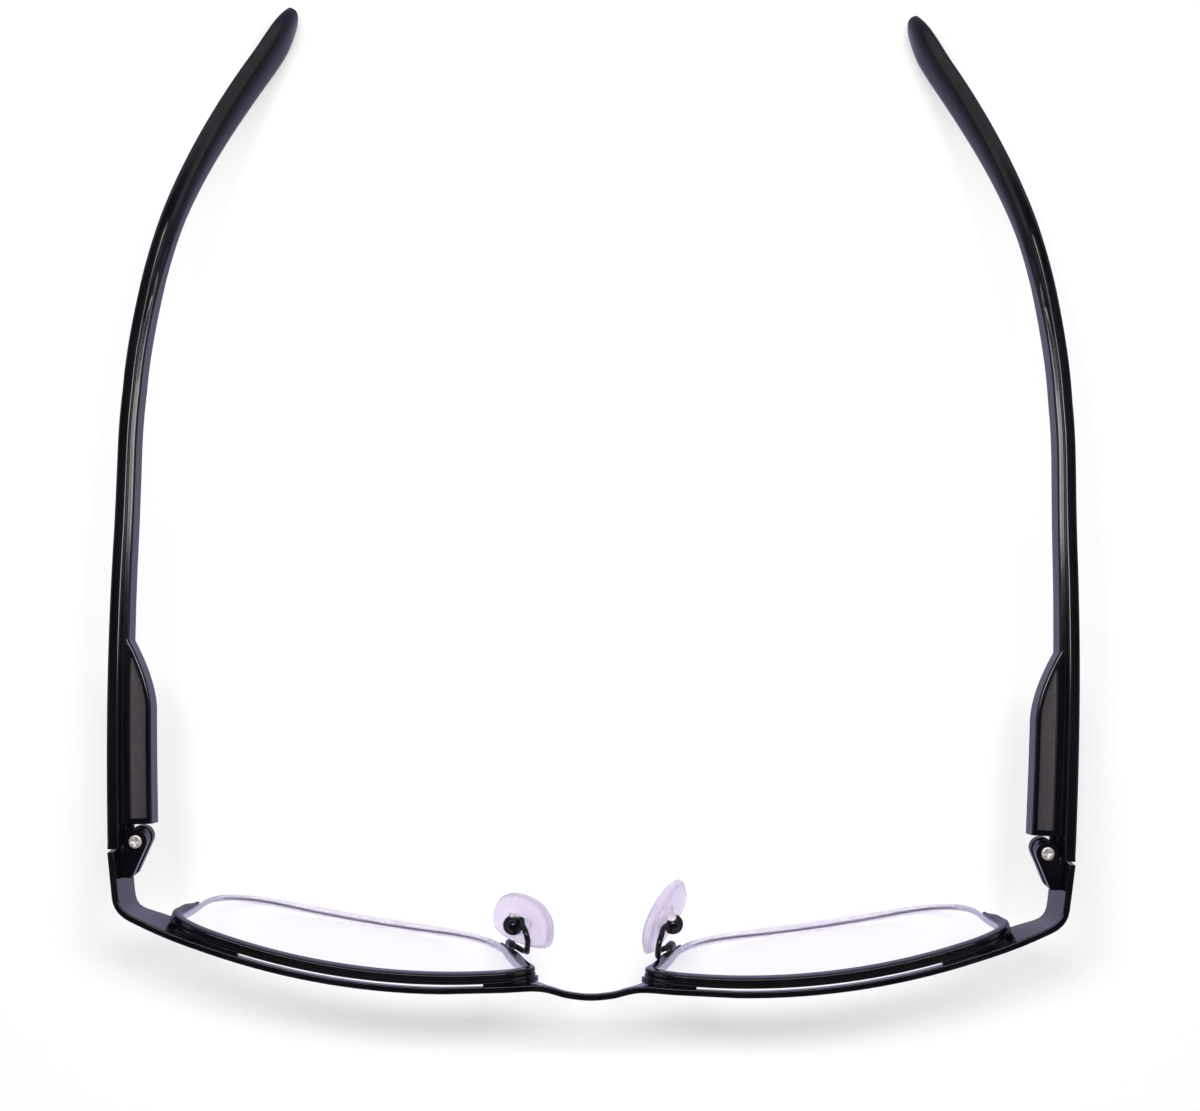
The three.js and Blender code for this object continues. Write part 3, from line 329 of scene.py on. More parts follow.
def soften(piece, width, turn=35.0, segments=2):
    """Rounds a piece's sharp edges."""
    bevel = piece.modifiers.new("round", "BEVEL")
    bevel.width = width * MM
    bevel.segments = segments
    bevel.limit_method = "ANGLE"
    bevel.angle_limit = math.radians(turn)
    bevel.use_clamp_overlap = True
    return piece


def even(piece):
    """Even shading over a piece's flat faces."""
    normals = piece.modifiers.new("normals", "WEIGHTED_NORMAL")
    normals.keep_sharp = True
    normals.weight = 80
    return piece


def bake(piece):
    """Applies a piece's modifiers."""
    bpy.context.view_layer.update()
    graph = bpy.context.evaluated_depsgraph_get()
    mesh = bpy.data.meshes.new_from_object(piece.evaluated_get(graph))
    piece.modifiers.clear()
    old = piece.data
    piece.data = mesh
    mesh.name = piece.name
    bpy.data.meshes.remove(old)
    return piece


def combine(body, tools, operation):
    """Joins tools to a body or cuts them from it, and removes the tools."""
    for tool in tools:
        step = body.modifiers.new("step", "BOOLEAN")
        step.operation = operation
        step.solver = "EXACT"
        step.object = tool
        bake(body)
        bpy.data.objects.remove(tool)
    return body


def finish_piece(piece, body, node, material):
    piece.data.materials.clear()
    piece.data.materials.append(material)
    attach(piece, body)
    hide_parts(node)
    return piece


# Lens edge

class LensEdge:
    """Outline of the wearer's left lens, laid on its ball."""

    def __init__(self):
        corners = []
        for across, down, reach in LENS_CORNERS:
            corner = np.array((LENS_NASAL + across * LENS_WIDTH, LENS_TOP - down * LENS_HEIGHT))
            corners.append((corner, reach * LENS_WIDTH))

        def towards(start, end, distance):
            return start + (end - start) * distance / np.linalg.norm(end - start)

        points = [towards(corners[-1][0], corners[0][0], corners[-1][1])]
        for i, (at, reach) in enumerate(corners):
            enter = towards(at, corners[i - 1][0], reach)
            leave = towards(at, corners[(i + 1) % len(corners)][0], reach)
            points += [points[-1] + (enter - points[-1]) * s for s in np.linspace(0, 1, STRAIGHT_STEPS)[1:]]
            for s in np.linspace(0, 1, CURVE_STEPS)[1:]:
                points.append((1 - s) ** 2 * enter + 2 * s * (1 - s) * at + s * s * leave)
        self.points = np.array(points)
        runs = np.linalg.norm(np.diff(self.points, axis=0), axis=1)
        self.length = runs.sum()
        self.shares = np.concatenate([[0], np.cumsum(runs)]) / self.length
        self.top = self.first(lambda x, z: x > LENS_MIDDLE, self.nasal())
        self.rim_start = self.first(lambda x, z: z > -NASAL_DROP, 0)
        self.rim_end = self.first(lambda x, z: z < -TEMPLE_DROP, self.top)

    def at(self, share):
        share = share % 1
        return tuple(np.interp(share, self.shares, self.points[:, k]) for k in range(2))

    def nasal(self):
        return float(self.shares[np.argmin(self.points[:, 0])])

    def first(self, test, start):
        """First share of the outline, from a start, whose place passes a test."""
        for share in np.linspace(start, 1, SEARCH_STEPS):
            if test(*self.at(share)):
                return float(share)
        raise ValueError("the outline never gets there")

    def frame(self, share):
        """Place on the edge, the way outwards and the way to the face."""
        probe = 4e-4
        here, ahead, behind = (self.at(share + step) for step in (0, probe, -probe))
        along = unit(on_ball(*ahead) - on_ball(*behind))
        back = faceward(here[0])
        out = unit(np.cross(along, back))
        if out @ np.array((here[0] - LENS_MIDDLE, 0, here[1] - LENS_MID_HEIGHT)) < 0:
            out = -out
        return on_ball(*here), out, back

    def ring(self, share, section):
        place, out, back = self.frame(share)
        return [place + a * out + b * back for a, b in section]


def on_ball(x, z):
    depth = math.sqrt(BROW_RADIUS**2 - (x - BALL[0]) ** 2 - (z - BALL[2]) ** 2)
    drop = max(0.0, BAR_HEIGHT - z)
    wrap = FOOT_WRAP * (x - BALL[0]) * drop / (LENS_WIDTH * (drop + LENS_HEIGHT / 2))
    return np.array((x, BALL[1] - depth + wrap, z))


def faceward(x):
    lean = (x - BALL[0]) / BROW_RADIUS
    return np.array((-lean, math.sqrt(1 - lean * lean), 0))


edge = LensEdge()


def rim_section(share):
    """Half-rim section: round-edged bar with a flute outside and the liner's channel inside."""
    height = edge.at(share)[1]
    foot = -NASAL_DROP if share < edge.top else -TEMPLE_DROP
    climb = (height - foot) / (LENS_TOP - foot)
    widths = [(0, RIM_END), (RIM_GROWN, RIM_SIDE), (RIM_TURN, RIM_SIDE), (RIM_TURNED, RIM_TOP)]
    width = eased(widths, climb)
    half = step_over((0, RIM_GROWN), RIM_END_DEPTH, RIM_DEPTH, climb) / 2
    front = step_over((0, RIM_GROWN), RIM_END_RECESS, RIM_RECESS, climb) - half
    outer = SEAT_GAP + width
    flute = min(FLUTE_DEPTH, width / 3)
    channel = min(CHANNEL_DEPTH, width / 2)
    section = arc((SEAT_GAP + RIM_LIP, RIM_LIP + front), RIM_LIP, 180, 270, LIP_STEPS)
    section += arc((outer - RIM_EDGE, RIM_EDGE + front), RIM_EDGE, 270, 360, EDGE_STEPS)
    for step in np.linspace(-1, 1, FLUTE_STEPS):
        across = (front + half + step * FLUTE_WIDTH) / 2
        section.append((outer - flute * math.cos(step * math.pi / 2) ** 2, across))
    section += arc((outer - RIM_EDGE, half - RIM_EDGE), RIM_EDGE, 0, 90, EDGE_STEPS)
    section += arc((SEAT_GAP + RIM_LIP, half - RIM_LIP), RIM_LIP, 90, 180, LIP_STEPS)
    section += [
        (SEAT_GAP, CHANNEL_WIDTH / 2),
        (SEAT_GAP + channel, CHANNEL_WIDTH / 2),
        (SEAT_GAP + channel, -CHANNEL_WIDTH / 2),
        (SEAT_GAP, -CHANNEL_WIDTH / 2),
    ]
    return section


def rim(name, side, material):
    work = Builder()
    shares = np.linspace(edge.rim_start, edge.rim_end, OUTLINE_STEPS)
    work.loft([edge.ring(share, rim_section(share)) for share in shares])
    piece = smooth(work.piece("half_rim_" + name, side), 40)
    return finish_piece(piece, "front", "rim_" + name, material)


def brace(kind, name, side, start, length, material):
    """Solder block between the plate's back and the rim's front, as high as the gap leaves it."""
    work = Builder()
    ends = [edge.first(lambda x, z, at=at: x > at, edge.nasal()) for at in (start, start + length)]
    middle = SEAT_GAP + RIM_TOP / 2
    low, high = middle - BRACE_HEIGHT / 2, middle + BRACE_HEIGHT / 2
    plate = BRACE_SEAT - RIM_DEPTH / 2 - BRACE_GAP
    bar = BRACE_SEAT + RIM_RECESS - RIM_DEPTH / 2
    section = round_section([(*corner, BRACE_EDGE) for corner in oblong(low, plate, high, bar)])
    work.loft([edge.ring(share, section) for share in np.linspace(*ends, BRACE_STEPS)])
    piece = soften(smooth(work.piece(f"{kind}_brace_{name}", side), 40), 0.1)
    return finish_piece(piece, "front", f"{kind}_braze_{name}", material)


def lens_thickness(x, z):
    away = math.hypot(x - LENS_MIDDLE, z - LENS_MID_HEIGHT) / (LENS_WIDTH / 2)
    thick = LENS_MIDDLE_THICKNESS - (LENS_MIDDLE_THICKNESS - LENS_EDGE_THICKNESS) * away**2
    return max(1.8 * GROOVE_WIDTH, thick)


def lens(name, side, material, ground):
    """Lens with two ball faces, a small bevel and the cord's groove all round its edge."""
    work = Builder()
    shares = np.linspace(0, 1, OUTLINE_STEPS, endpoint=False)

    def face(scale, half, off=0.0):
        points = []
        for share in shares:
            x, z = edge.at(share)
            across = LENS_MIDDLE + (x - LENS_MIDDLE) * scale
            height = LENS_MID_HEIGHT + (z - LENS_MID_HEIGHT) * scale
            reach = half * (lens_thickness(across, height) / 2 - off)
            points.append(on_ball(across, height) + faceward(across) * reach)
        return points

    inner = 1 - 2 * LENS_BEVEL / LENS_HEIGHT
    scales = [*np.linspace(0.05, inner, FACE_STEPS)]
    front = [face(scale, -1) for scale in scales] + [face(1, -1, LENS_BEVEL)]
    rear = [face(1, 1, LENS_BEVEL)] + [face(scale, 1) for scale in reversed(scales)]
    groove = []
    for deep, wide in GROOVE_PROFILE:
        groove.append([edge.ring(s, [(-deep * GROOVE_DEPTH, wide * GROOVE_WIDTH)])[0] for s in shares])
    kept = work.loft([*front, *groove, *rear], ends=False)
    for ring, half in ((kept[0], -1), (kept[-1], 1)):
        place = on_ball(LENS_MIDDLE, LENS_MID_HEIGHT)
        work.fan(ring, place + faceward(LENS_MIDDLE) * half * LENS_MIDDLE_THICKNESS / 2)
    piece = smooth(work.piece("clear_lens_" + name, side), 30)
    finish_piece(piece, "front", "lens_" + name, material)
    piece.data.materials.append(ground)
    first = (len(front) - 1) * len(shares)
    last = (len(front) + len(groove)) * len(shares)
    for polygon in piece.data.polygons[first:last]:
        polygon.material_index = 1
    return piece


def cord(name, side, material):
    """Nylon line in the groove, from one end of the rim round the bottom to the other."""
    work = Builder()
    inset = CORD_END_GAP / edge.length
    section = arc((-CORD_SINK, 0), CORD_DIAMETER / 2, 0, 360 - 360 / CORD_SIDES, CORD_SIDES)
    run = np.linspace(edge.rim_end + inset, 1 + edge.rim_start - inset, CORD_STEPS)
    work.loft([edge.ring(s, section) for s in run])
    piece = smooth(work.piece("line_" + name, side), 50)
    return finish_piece(piece, "front", "nylon_cord_" + name, material)


# Temples

def arm_outer(y):
    bulge = TEMPLE_BULGE * math.sin(math.pi * share_past(y, 0, TEMPLE_BULGE_END))
    sweep = max(0, (y - TEMPLE_SWEEP_START) / (TEMPLE_LENGTH - TEMPLE_SWEEP_START))
    bend = max(0, (y - TEMPLE_BEND_START) / (TEMPLE_LENGTH - TEMPLE_BEND_START))
    height = HINGE_HEIGHT - y * TEMPLE_FALL - TEMPLE_BEND * bend**TEMPLE_BEND_POWER
    return np.array((HALF_FRONT + bulge - TEMPLE_SWEEP * sweep**2 + eased(TEMPLE_EASE, y), y, height))


def plate_top_at_corner():
    x = HALF_FRONT - CORNER_INSET
    arch = ((x - LENS_NASAL - BROW_CREST * LENS_WIDTH) / (LENS_WIDTH / 2)) ** 2
    return -BROW_ARCH * arch


HINGE_HEIGHT = plate_top_at_corner() - HINGE_DROP - ENDPIECE_DEPTH * TEMPLE_FALL


def arm_ring(y, section):
    probe = ARM_THICKNESS / 50
    along = unit(arm_outer(y + probe) - arm_outer(y - probe))
    inward = unit((-along[1], along[0], 0))
    up = unit(np.cross(along, inward))
    if up[2] < 0:
        up = -up
    place = arm_outer(y)
    return [place + n * inward + v * up for n, v in section]


def round_section(corners):
    """Rounds each corner of a flat outline by its own radius."""
    points = []
    for i, (n, v, radius) in enumerate(corners):
        at = np.array((n, v))
        before, after = (np.array(corners[(i + k) % len(corners)][:2]) for k in (-1, 1))
        if radius <= 0:
            points.append(tuple(at))
            continue
        enter = at + unit(before - at) * radius
        leave = at + unit(after - at) * radius
        for s in np.linspace(0, 1, SECTION_STEPS):
            points.append(tuple((1 - s) ** 2 * enter + 2 * s * (1 - s) * at + s * s * leave))
    return points


def walled_section(y):
    """Front and middle of the arm: an outer wall with a lower rib inside it."""
    share = y / TEMPLE_LENGTH
    half = step_over(WALL_TAPER, WALL_FRONT_HEIGHT / 2, WALL_MID_HEIGHT / 2, share)
    rib = RIB_HEIGHT / 2
    upper = [
        (0, half, ARM_EDGE * 1.15),
        (WALL_THICKNESS, half, ARM_EDGE * 0.7),
        (WALL_THICKNESS, rib, ARM_EDGE / 4),
        (ARM_THICKNESS, rib, ARM_EDGE * 1.15),
    ]
    return round_section([*upper, *((n, -v, radius) for n, v, radius in reversed(upper))])


def tip_section(y):
    """Rear of the arm: a paddle flat outside and crowned inside, in as many points as the walled part."""
    share = y / TEMPLE_LENGTH
    half = step_over(TIP_SWELL, WALL_MID_HEIGHT / 2, TIP_HEIGHT / 2, share)
    reach = TIP_THICKNESS - TIP_EDGE
    crown = []
    for turn in np.linspace(math.pi / 2, -math.pi / 2, CROWN_STEPS):
        c, s = math.cos(turn), math.sin(turn)
        rise = math.copysign(abs(s) ** (2 / TIP_CROWN), s)
        crown.append((TIP_EDGE + reach * max(c, 0.0) ** (2 / TIP_CROWN), half * rise))
    upper = [(TIP_EDGE * (1 - math.sin(t)), half - TIP_EDGE * (1 - math.cos(t))) for t in TIP_TURNS]
    lower = [(n, -v) for n, v in reversed(upper)]
    return [*reversed(upper), *crown, *reversed(lower)]


def arm_section(y):
    """Walled section that turns into the paddle, which leans in and narrows to its nose."""
    share = y / TEMPLE_LENGTH
    blend = step_over(TIP_BLEND, 0, 1, share)
    section = np.array(walled_section(y)) * (1 - blend) + np.array(tip_section(y)) * blend
    narrow = 1 - TIP_NOSE * share_past(y, ARM_END - TIP_SLANT, TIP_SLANT) ** TIP_NARROWING
    lower = math.sqrt(1 - (TIP_FALL_REACH * share_past(y, ARM_END - TIP_FALL, TIP_FALL)) ** 2)
    cap = math.sqrt(1 - (TIP_ROUND_REACH * share_past(y, ARM_END - TIP_ROUND, TIP_ROUND)) ** 2)
    middle = TIP_THICKNESS * narrow / 2
    turn = math.radians(step_over(TIP_LEAN, 0, TIP_TWIST, share))
    rows = []
    for n, v in section:
        n = middle + (n * narrow - middle) * cap
        v = v * lower * cap
        rows.append((n * math.cos(turn) - v * math.sin(turn), v * math.cos(turn) + n * math.sin(turn)))
    return rows


def swept_arm(places, section_at):
    work = Builder()
    work.loft([arm_ring(y, section_at(y)) for y in places])
    return work


def block_inner(y):
    share = share_past(y, BLOCK_FULL, BLOCK_BACK - BLOCK_FULL)
    return ARM_THICKNESS + (BLOCK_WIDTH - ARM_THICKNESS) * (1 - share**BLOCK_POWER)


def arm_box(places, low, high, bottom, top, side):
    work = swept_arm(places, lambda y: oblong(low, bottom, high(y), top))
    return work.piece("tool", side)


def block_section(y):
    half = BLOCK_HEIGHT / 2
    inner = block_inner(y) - BLOCK_EDGE / 4
    return round_section([
        (WALL_THICKNESS / 2, -half, 0),
        (inner, -half, BLOCK_EDGE),
        (inner, half, BLOCK_EDGE),
        (WALL_THICKNESS / 2, half, 0),
    ])


def in_pocket(place):
    """True for a place, in the glasses' own millimetres, on the walls or floor of the pocket."""
    across, y, height = place
    outer = arm_outer(y)
    inward = outer[0] - across
    top = BLOCK_HEIGHT / 2 + outer[2]
    near = POCKET_LIP / 10
    if not BLOCK_FRONT + POCKET_LIP - 3 * near < y < POCKET_END + 3 * near:
        return False
    if not WALL_THICKNESS + POCKET_OFFSET - near < inward < block_inner(y) - POCKET_LIP + near:
        return False
    return top - 1.2 * POCKET_DEPTH < height < top - near


def temple(name, side, material, matt_and_sheen):
    """Arm with its outer wall and rib, the hinge block with its pocket, and the drooping tip.

    The arm is swept past its front end and cut square there, where it meets the endpiece.
    """
    tip_start = ARM_END - TIP_ROUND
    ends = [ARM_END - TIP_ROUND * (1 - math.sin(t)) for t in np.linspace(0, math.pi / 2, TIP_STEPS)]
    places = [*np.linspace(-WALL_FRONT - OVERRUN, tip_start, ARM_STEPS), *ends[1:]]
    arm = swept_arm(places, arm_section).piece("arm_" + name, side)
    along = two_runs((BLOCK_FRONT / 2, BLOCK_FULL, BLOCK_BACK), BLOCK_STEPS)
    block = swept_arm(along, block_section).piece("tool", side)
    combine(arm, [block], "UNION")
    start = WALL_THICKNESS + POCKET_OFFSET
    pocket = arm_box(
        two_runs((BLOCK_FRONT + POCKET_LIP, BLOCK_FULL, POCKET_END), POCKET_STEPS),
        start,
        lambda y: max(start + BLOCK_EDGE / 2, block_inner(y) - POCKET_LIP),
        BLOCK_HEIGHT / 2 - POCKET_DEPTH,
        BLOCK_HEIGHT / 2 + OVERRUN / 2,
        side,
    )
    soften(pocket, POCKET_ROUNDING, 50)
    room = arm_box(
        [-WALL_FRONT - 2 * OVERRUN, BLOCK_FRONT], WALL_THICKNESS, lambda y: BLOCK_WIDTH + OVERRUN,
        -WALL_FRONT_HEIGHT, WALL_FRONT_HEIGHT, side,
    )
    slot_high = WALL_THICKNESS + 2 * SHANK_GAP + SHANK_THICKNESS
    slot_half = SHANK_HEIGHT / 2 + SHANK_GAP
    slot_end = SHANK_END + SHANK_GAP
    slot = arm_box([0, slot_end], WALL_THICKNESS, lambda y: slot_high, -slot_half, slot_half, side)
    front = Builder()
    reach, tall = HALF_FRONT / 2, LENS_HEIGHT / 2
    corners = oblong(HALF_FRONT - reach, HINGE_HEIGHT - tall, HALF_FRONT + reach, HINGE_HEIGHT + tall)
    front.loft([[(x, y, z) for x, z in corners] for y in (-WALL_FRONT - BROW_REACH, -WALL_FRONT)])
    combine(arm, [pocket, room, slot, front.piece("tool", side)], "DIFFERENCE")
    smooth(arm, 30)
    even(soften(arm, ARM_ROUNDING, 45, 3))
    finish_piece(arm, name + "_temple", "temple_" + name, material)
    # The pocket's faces take the matt material whose grey is painted sheen
    arm.data.materials.append(matt_and_sheen)
    back = Matrix.Diagonal((side, 1, 1, 1)) @ stand.inverted()
    for polygon in arm.data.polygons:
        if in_pocket(back @ polygon.center):
            polygon.material_index = 1
    return arm


# Nose pads

def pad_basis(name):
    long, back = PAD_AIMS[name]
    face = unit(back)
    width = unit(np.cross(face, long))
    upper = unit(np.cross(face, width))
    nasal_edge = edge.at(edge.first(lambda x, z: z > -BOX_DROP, 0))[0]
    place = np.array((nasal_edge + BOX_PAST_LENS[name], BOX_BEHIND_BROW[name] - BROW_REACH, -BOX_DROP))
    return np.array((width, upper, face)), place


def in_pad(name, points):
    basis, place = pad_basis(name)
    return np.asarray(points, float) @ basis + place


def pad_outline(scale, drop):
    points = []
    for turn in full_turn(PAD_SIDES):
        c, s = math.cos(turn), math.sin(turn)
        bow = max(0.0, c) ** PAD_BOW_POWER * (1 - PAD_FLAT)
        flat = max(0.0, -c) ** PAD_FLAT_POWER * PAD_FLAT
        rise = math.copysign(abs(s) ** PAD_END_POWER, s)
        points.append((scale * (bow - flat) * PAD_WIDTH, scale * rise * PAD_LENGTH / 2 - drop))
    return points


def nose_pad(name, side, material):
    """Soft pad: crowned towards the nose, round-edged, with a raised seat round its core behind."""
    drop = PAD_DROP[name]
    low = -(PAD_BACK + PAD_THICKNESS)
    profile = [(scale, low + rise) for scale, rise in PAD_PROFILE]
    work = Builder()
    rings = [in_pad(name, [(x, y, z) for x, y in pad_outline(scale, drop)]) for scale, z in profile]
    kept = work.loft(rings, ends=False)
    for ring, z in ((kept[0], low), (kept[-1], profile[-1][1])):
        work.fan(ring, in_pad(name, [(0.8, -drop, z)])[0])
    pad = work.piece("soft_pad_" + name, side)
    pocket = Builder()
    half_w, half_l = CORE_WIDTH / 2 + CORE_ROOM, CORE_LENGTH / 2 + CORE_ROOM
    section = round_section([(*corner, CORE_EDGE) for corner in oblong(-half_w, -half_l, half_w, half_l)])
    floor = -PAD_BACK - CORE_THICKNESS - 2 * CORE_ROOM
    pocket.loft([in_pad(name, [(x, y, z) for x, y in section]) for z in (floor, OVERRUN - PAD_BACK)])
    combine(pad, [pocket.piece("tool", side)], "DIFFERENCE")
    smooth(pad, 40)
    return finish_piece(pad, name + "_pad", "nose_pad_" + name, material)


def circle(radius, count):
    return [(radius * math.cos(t), radius * math.sin(t)) for t in full_turn(count)]


def turned(name, side, profile):
    """A body turned about the pad frame's own face axis."""
    work = Builder()
    work.loft([in_pad(name, [(x, y, z) for x, y in circle(radius, CUP_SIDES)]) for radius, z in profile])
    return work.piece("cup_" + name, side)


def lying(name, side, radius, low, high):
    """A cutting rod that lies across the pad frame."""
    work = Builder()
    work.loft([in_pad(name, [(x, y, z) for y, z in circle(radius, BORE_SIDES)]) for x in (low, high)])
    return work.piece("tool", side)


def pad_box(name, side, material):
    """Round cup, domed behind, with the tab's slot and the screw's sink."""
    profile = [(BOX_RADIUS - BOX_EDGE, -BOX_LENGTH), (BOX_RADIUS - BOX_EDGE / 3, BOX_EDGE / 3 - BOX_LENGTH)]
    profile += [(BOX_RADIUS, BOX_EDGE - BOX_LENGTH)]
    for turn in np.radians(np.linspace(0, 87, CUP_STEPS)):
        profile.append((BOX_RADIUS * math.cos(turn), BOX_RADIUS * math.sin(turn)))
    cup = turned(name, side, profile)
    slot = Builder()
    wide, long = TAB_SLOT / 2, TAB_SLOT_LENGTH / 2
    corners = oblong(-wide, -long, wide, long)
    slot.loft([in_pad(name, [(x, y, z) for x, y in corners]) for z in (-BOX_LENGTH - OVERRUN, BOX_FLOOR)])
    past = BOX_RADIUS + OVERRUN
    tools = [
        slot.piece("tool", side),
        lying(name, side, BORE_RADIUS, -past, past),
        lying(name, side, SINK_RADIUS, SINK_SEAT, past),
    ]
    combine(cup, tools, "DIFFERENCE")
    smooth(cup, 30)
    return finish_piece(cup, "front", "pad_box_" + name, material)


def catmull(points, count):
    """Centripetal curve through points, resampled evenly."""
    points = [np.asarray(p, float) for p in points]
    ends = [2 * points[0] - points[1], *points, 2 * points[-1] - points[-2]]
    dense = []
    for a, b, c, d in zip(ends, ends[1:], ends[2:], ends[3:]):
        knots = [0.0]
        for p, q in ((a, b), (b, c), (c, d)):
            knots.append(knots[-1] + math.sqrt(np.linalg.norm(q - p)))
        t0, t1, t2, t3 = knots
        for t in np.linspace(t1, t2, KNOT_STEPS, endpoint=False):
            a1 = (t1 - t) / (t1 - t0) * a + (t - t0) / (t1 - t0) * b
            a2 = (t2 - t) / (t2 - t1) * b + (t - t1) / (t2 - t1) * c
            a3 = (t3 - t) / (t3 - t2) * c + (t - t2) / (t3 - t2) * d
            b1 = (t2 - t) / (t2 - t0) * a1 + (t - t0) / (t2 - t0) * a2
            b2 = (t3 - t) / (t3 - t1) * a2 + (t - t1) / (t3 - t1) * a3
            dense.append((t2 - t) / (t2 - t1) * b1 + (t - t1) / (t2 - t1) * b2)
    dense = np.array([*dense, points[-1]])
    runs = np.concatenate([[0], np.cumsum(np.linalg.norm(np.diff(dense, axis=0), axis=1))])
    even_runs = np.linspace(0, runs[-1], count)
    return np.stack([np.interp(even_runs, runs, dense[:, k]) for k in range(3)], axis=1)


def tube(work, path, radius):
    """Round tube along a path, its frame carried on without twist."""
    tangents = unit(np.gradient(path, axis=0))
    normal = unit(np.cross(tangents[0], (0.3, 0.2, 1)))
    rings = []
    turns = full_turn(WIRE_SIDES)
    for place, tangent in zip(path, tangents):
        normal = unit(normal - tangent * (normal @ tangent))
        other = np.cross(tangent, normal)
        rings.append([place + radius * (math.cos(t) * normal + math.sin(t) * other) for t in turns])
    work.loft(rings)


def pad_arm(name, side, material):
    """Soldered foot behind the rim, and the looped wire that carries the pad's box."""
    share = edge.first(lambda x, z: z > -FOOT_DROP, 0)
    low = RIM_DEPTH / 2 + WIRE_CLEAR
    middle = SEAT_GAP + FOOT_WIDTH / 2
    foot = Builder()
    spread = FOOT_LENGTH / 2 / edge.length
    rings = []
    turns = np.linspace(0, math.pi, FOOT_SIDES)
    for step in np.linspace(-1, 1, FOOT_STEPS):
        swell = (1 - abs(step) ** FOOT_POWER * FOOT_CLOSING) ** 0.5
        half = FOOT_WIDTH / 2 * (FOOT_SHARES[0] + FOOT_SHARES[1] * swell)
        high = FOOT_THICKNESS * swell
        dome = [(middle + half * math.cos(t), low + high * math.sin(t) ** FOOT_DOME_POWER) for t in turns]
        rings.append(edge.ring(share + step * spread, dome))
    foot.loft(rings)
    basis, place = pad_basis(name)
    start = edge.ring(share, [(middle, RIM_DEPTH / 2 + FOOT_THICKNESS / 2)])[0]
    steps = np.linspace(0, 1, len(WIRE_BENDS[name]) + 2)[1:-1]
    bends = [start + (place - start) * step + bend for step, bend in zip(steps, WIRE_BENDS[name])]
    entry = in_pad(name, [(BOX_RADIUS / 4, 0, 0)])[0]
    path = catmull([start, *bends, entry], WIRE_STEPS)
    path = np.array([p for p in path if np.linalg.norm(p - place) > BOX_RADIUS + WIRE_CLEAR / 2])
    tube(foot, path, WIRE_DIAMETER / 2)
    piece = smooth(foot.piece("wire_" + name, side), 50)
    return finish_piece(piece, "front", "pad_arm_" + name, material)


# Materials

class Nodes:
    """Builds one node material step by step."""

    def __init__(self, name):
        self.material = bpy.data.materials.new(name)
        self.material.use_nodes = True
        self.tree = self.material.node_tree
        self.shader = self.tree.nodes["Principled BSDF"]

    def add(self, kind, **values):
        node = self.tree.nodes.new(kind)
        for key, value in values.items():
            if key in node.inputs:
                node.inputs[key].default_value = value
            else:
                setattr(node, key, value)
        return node

    def link(self, source, target):
        self.tree.links.new(source, target)

    def set(self, **values):
        for key, value in values.items():
            self.shader.inputs[key.replace("_", " ")].default_value = value

    def place(self):
        return self.add("ShaderNodeTexCoord").outputs["Object"]

    def noise(self, scale, detail=3.0, stretch=None):
        where = self.place()
        if stretch:
            mapping = self.add("ShaderNodeMapping")
            mapping.inputs["Scale"].default_value = stretch
            self.link(where, mapping.inputs["Vector"])
            where = mapping.outputs["Vector"]
        texture = self.add("ShaderNodeTexNoise", Scale=scale, Detail=detail)
        self.link(where, texture.inputs["Vector"])
        return texture.outputs["Fac"]

    def spread(self, value, low, high):
        band = self.add("ShaderNodeMapRange")
        band.inputs["To Min"].default_value = low
        band.inputs["To Max"].default_value = high
        self.link(value, band.inputs["Value"])
        return band.outputs["Result"]

    def tint(self, value, first, second):
        ramp = self.add("ShaderNodeValToRGB")
        ramp.color_ramp.elements[0].position = 0.3
        ramp.color_ramp.elements[0].color = (*first, 1)
        ramp.color_ramp.elements[1].position = 0.7
        ramp.color_ramp.elements[1].color = (*second, 1)
        self.link(value, ramp.inputs["Fac"])
        return ramp.outputs["Color"]

    def let_light_through(self, tint):
        """Lets the lamps' light pass, as real clear pieces do, where the shader would stop it."""
        path = self.add("ShaderNodeLightPath")
        clear = self.add("ShaderNodeBsdfTransparent", Color=(*tint, 1))
        mix = self.add("ShaderNodeMixShader")
        self.link(path.outputs["Is Shadow Ray"], mix.inputs["Fac"])
        self.link(self.shader.outputs["BSDF"], mix.inputs[1])
        self.link(clear.outputs["BSDF"], mix.inputs[2])
        self.link(mix.outputs["Shader"], self.tree.nodes["Material Output"].inputs["Surface"])

    def colour(self, value, first, second):
        self.link(self.tint(value, first, second), self.shader.inputs["Base Color"])

    def roughness(self, scale, low, high):
        self.link(self.spread(self.noise(scale), low, high), self.shader.inputs["Roughness"])

    def bump(self, value, strength, distance):
        bump = self.add("ShaderNodeBump", Strength=strength, Distance=distance)
        self.link(value, bump.inputs["Height"])
        self.link(bump.outputs["Normal"], self.shader.inputs["Normal"])


def enamel():
    """Black stoved enamel on the metal front, a little violet where it thins."""
    paint = Nodes("enamel")
    paint.set(IOR=1.28)
    cloud = paint.noise(260.0)
    paint.colour(cloud, (0.002, 0.002, 0.003), (0.006, 0.005, 0.008))
    paint.roughness(900.0, 0.08, 0.14)
    paint.bump(paint.noise(1400.0, 2.0), 0.04, 0.00002)
    return paint.material


def temple_plastic():
    """Polished black injection-moulded plastic with faint flow marks along the arm."""
    plastic = Nodes("temple_plastic")
    plastic.set(IOR=1.28)
    flow = plastic.noise(60.0, 4.0, (9.0, 0.6, 9.0))
    plastic.colour(flow, (0.002, 0.002, 0.003), (0.006, 0.005, 0.008))
    plastic.roughness(700.0, 0.09, 0.15)
    plastic.bump(plastic.noise(500.0, 3.0, (1.0, 0.35, 1.0)), 0.06, 0.00003)
    return plastic.material


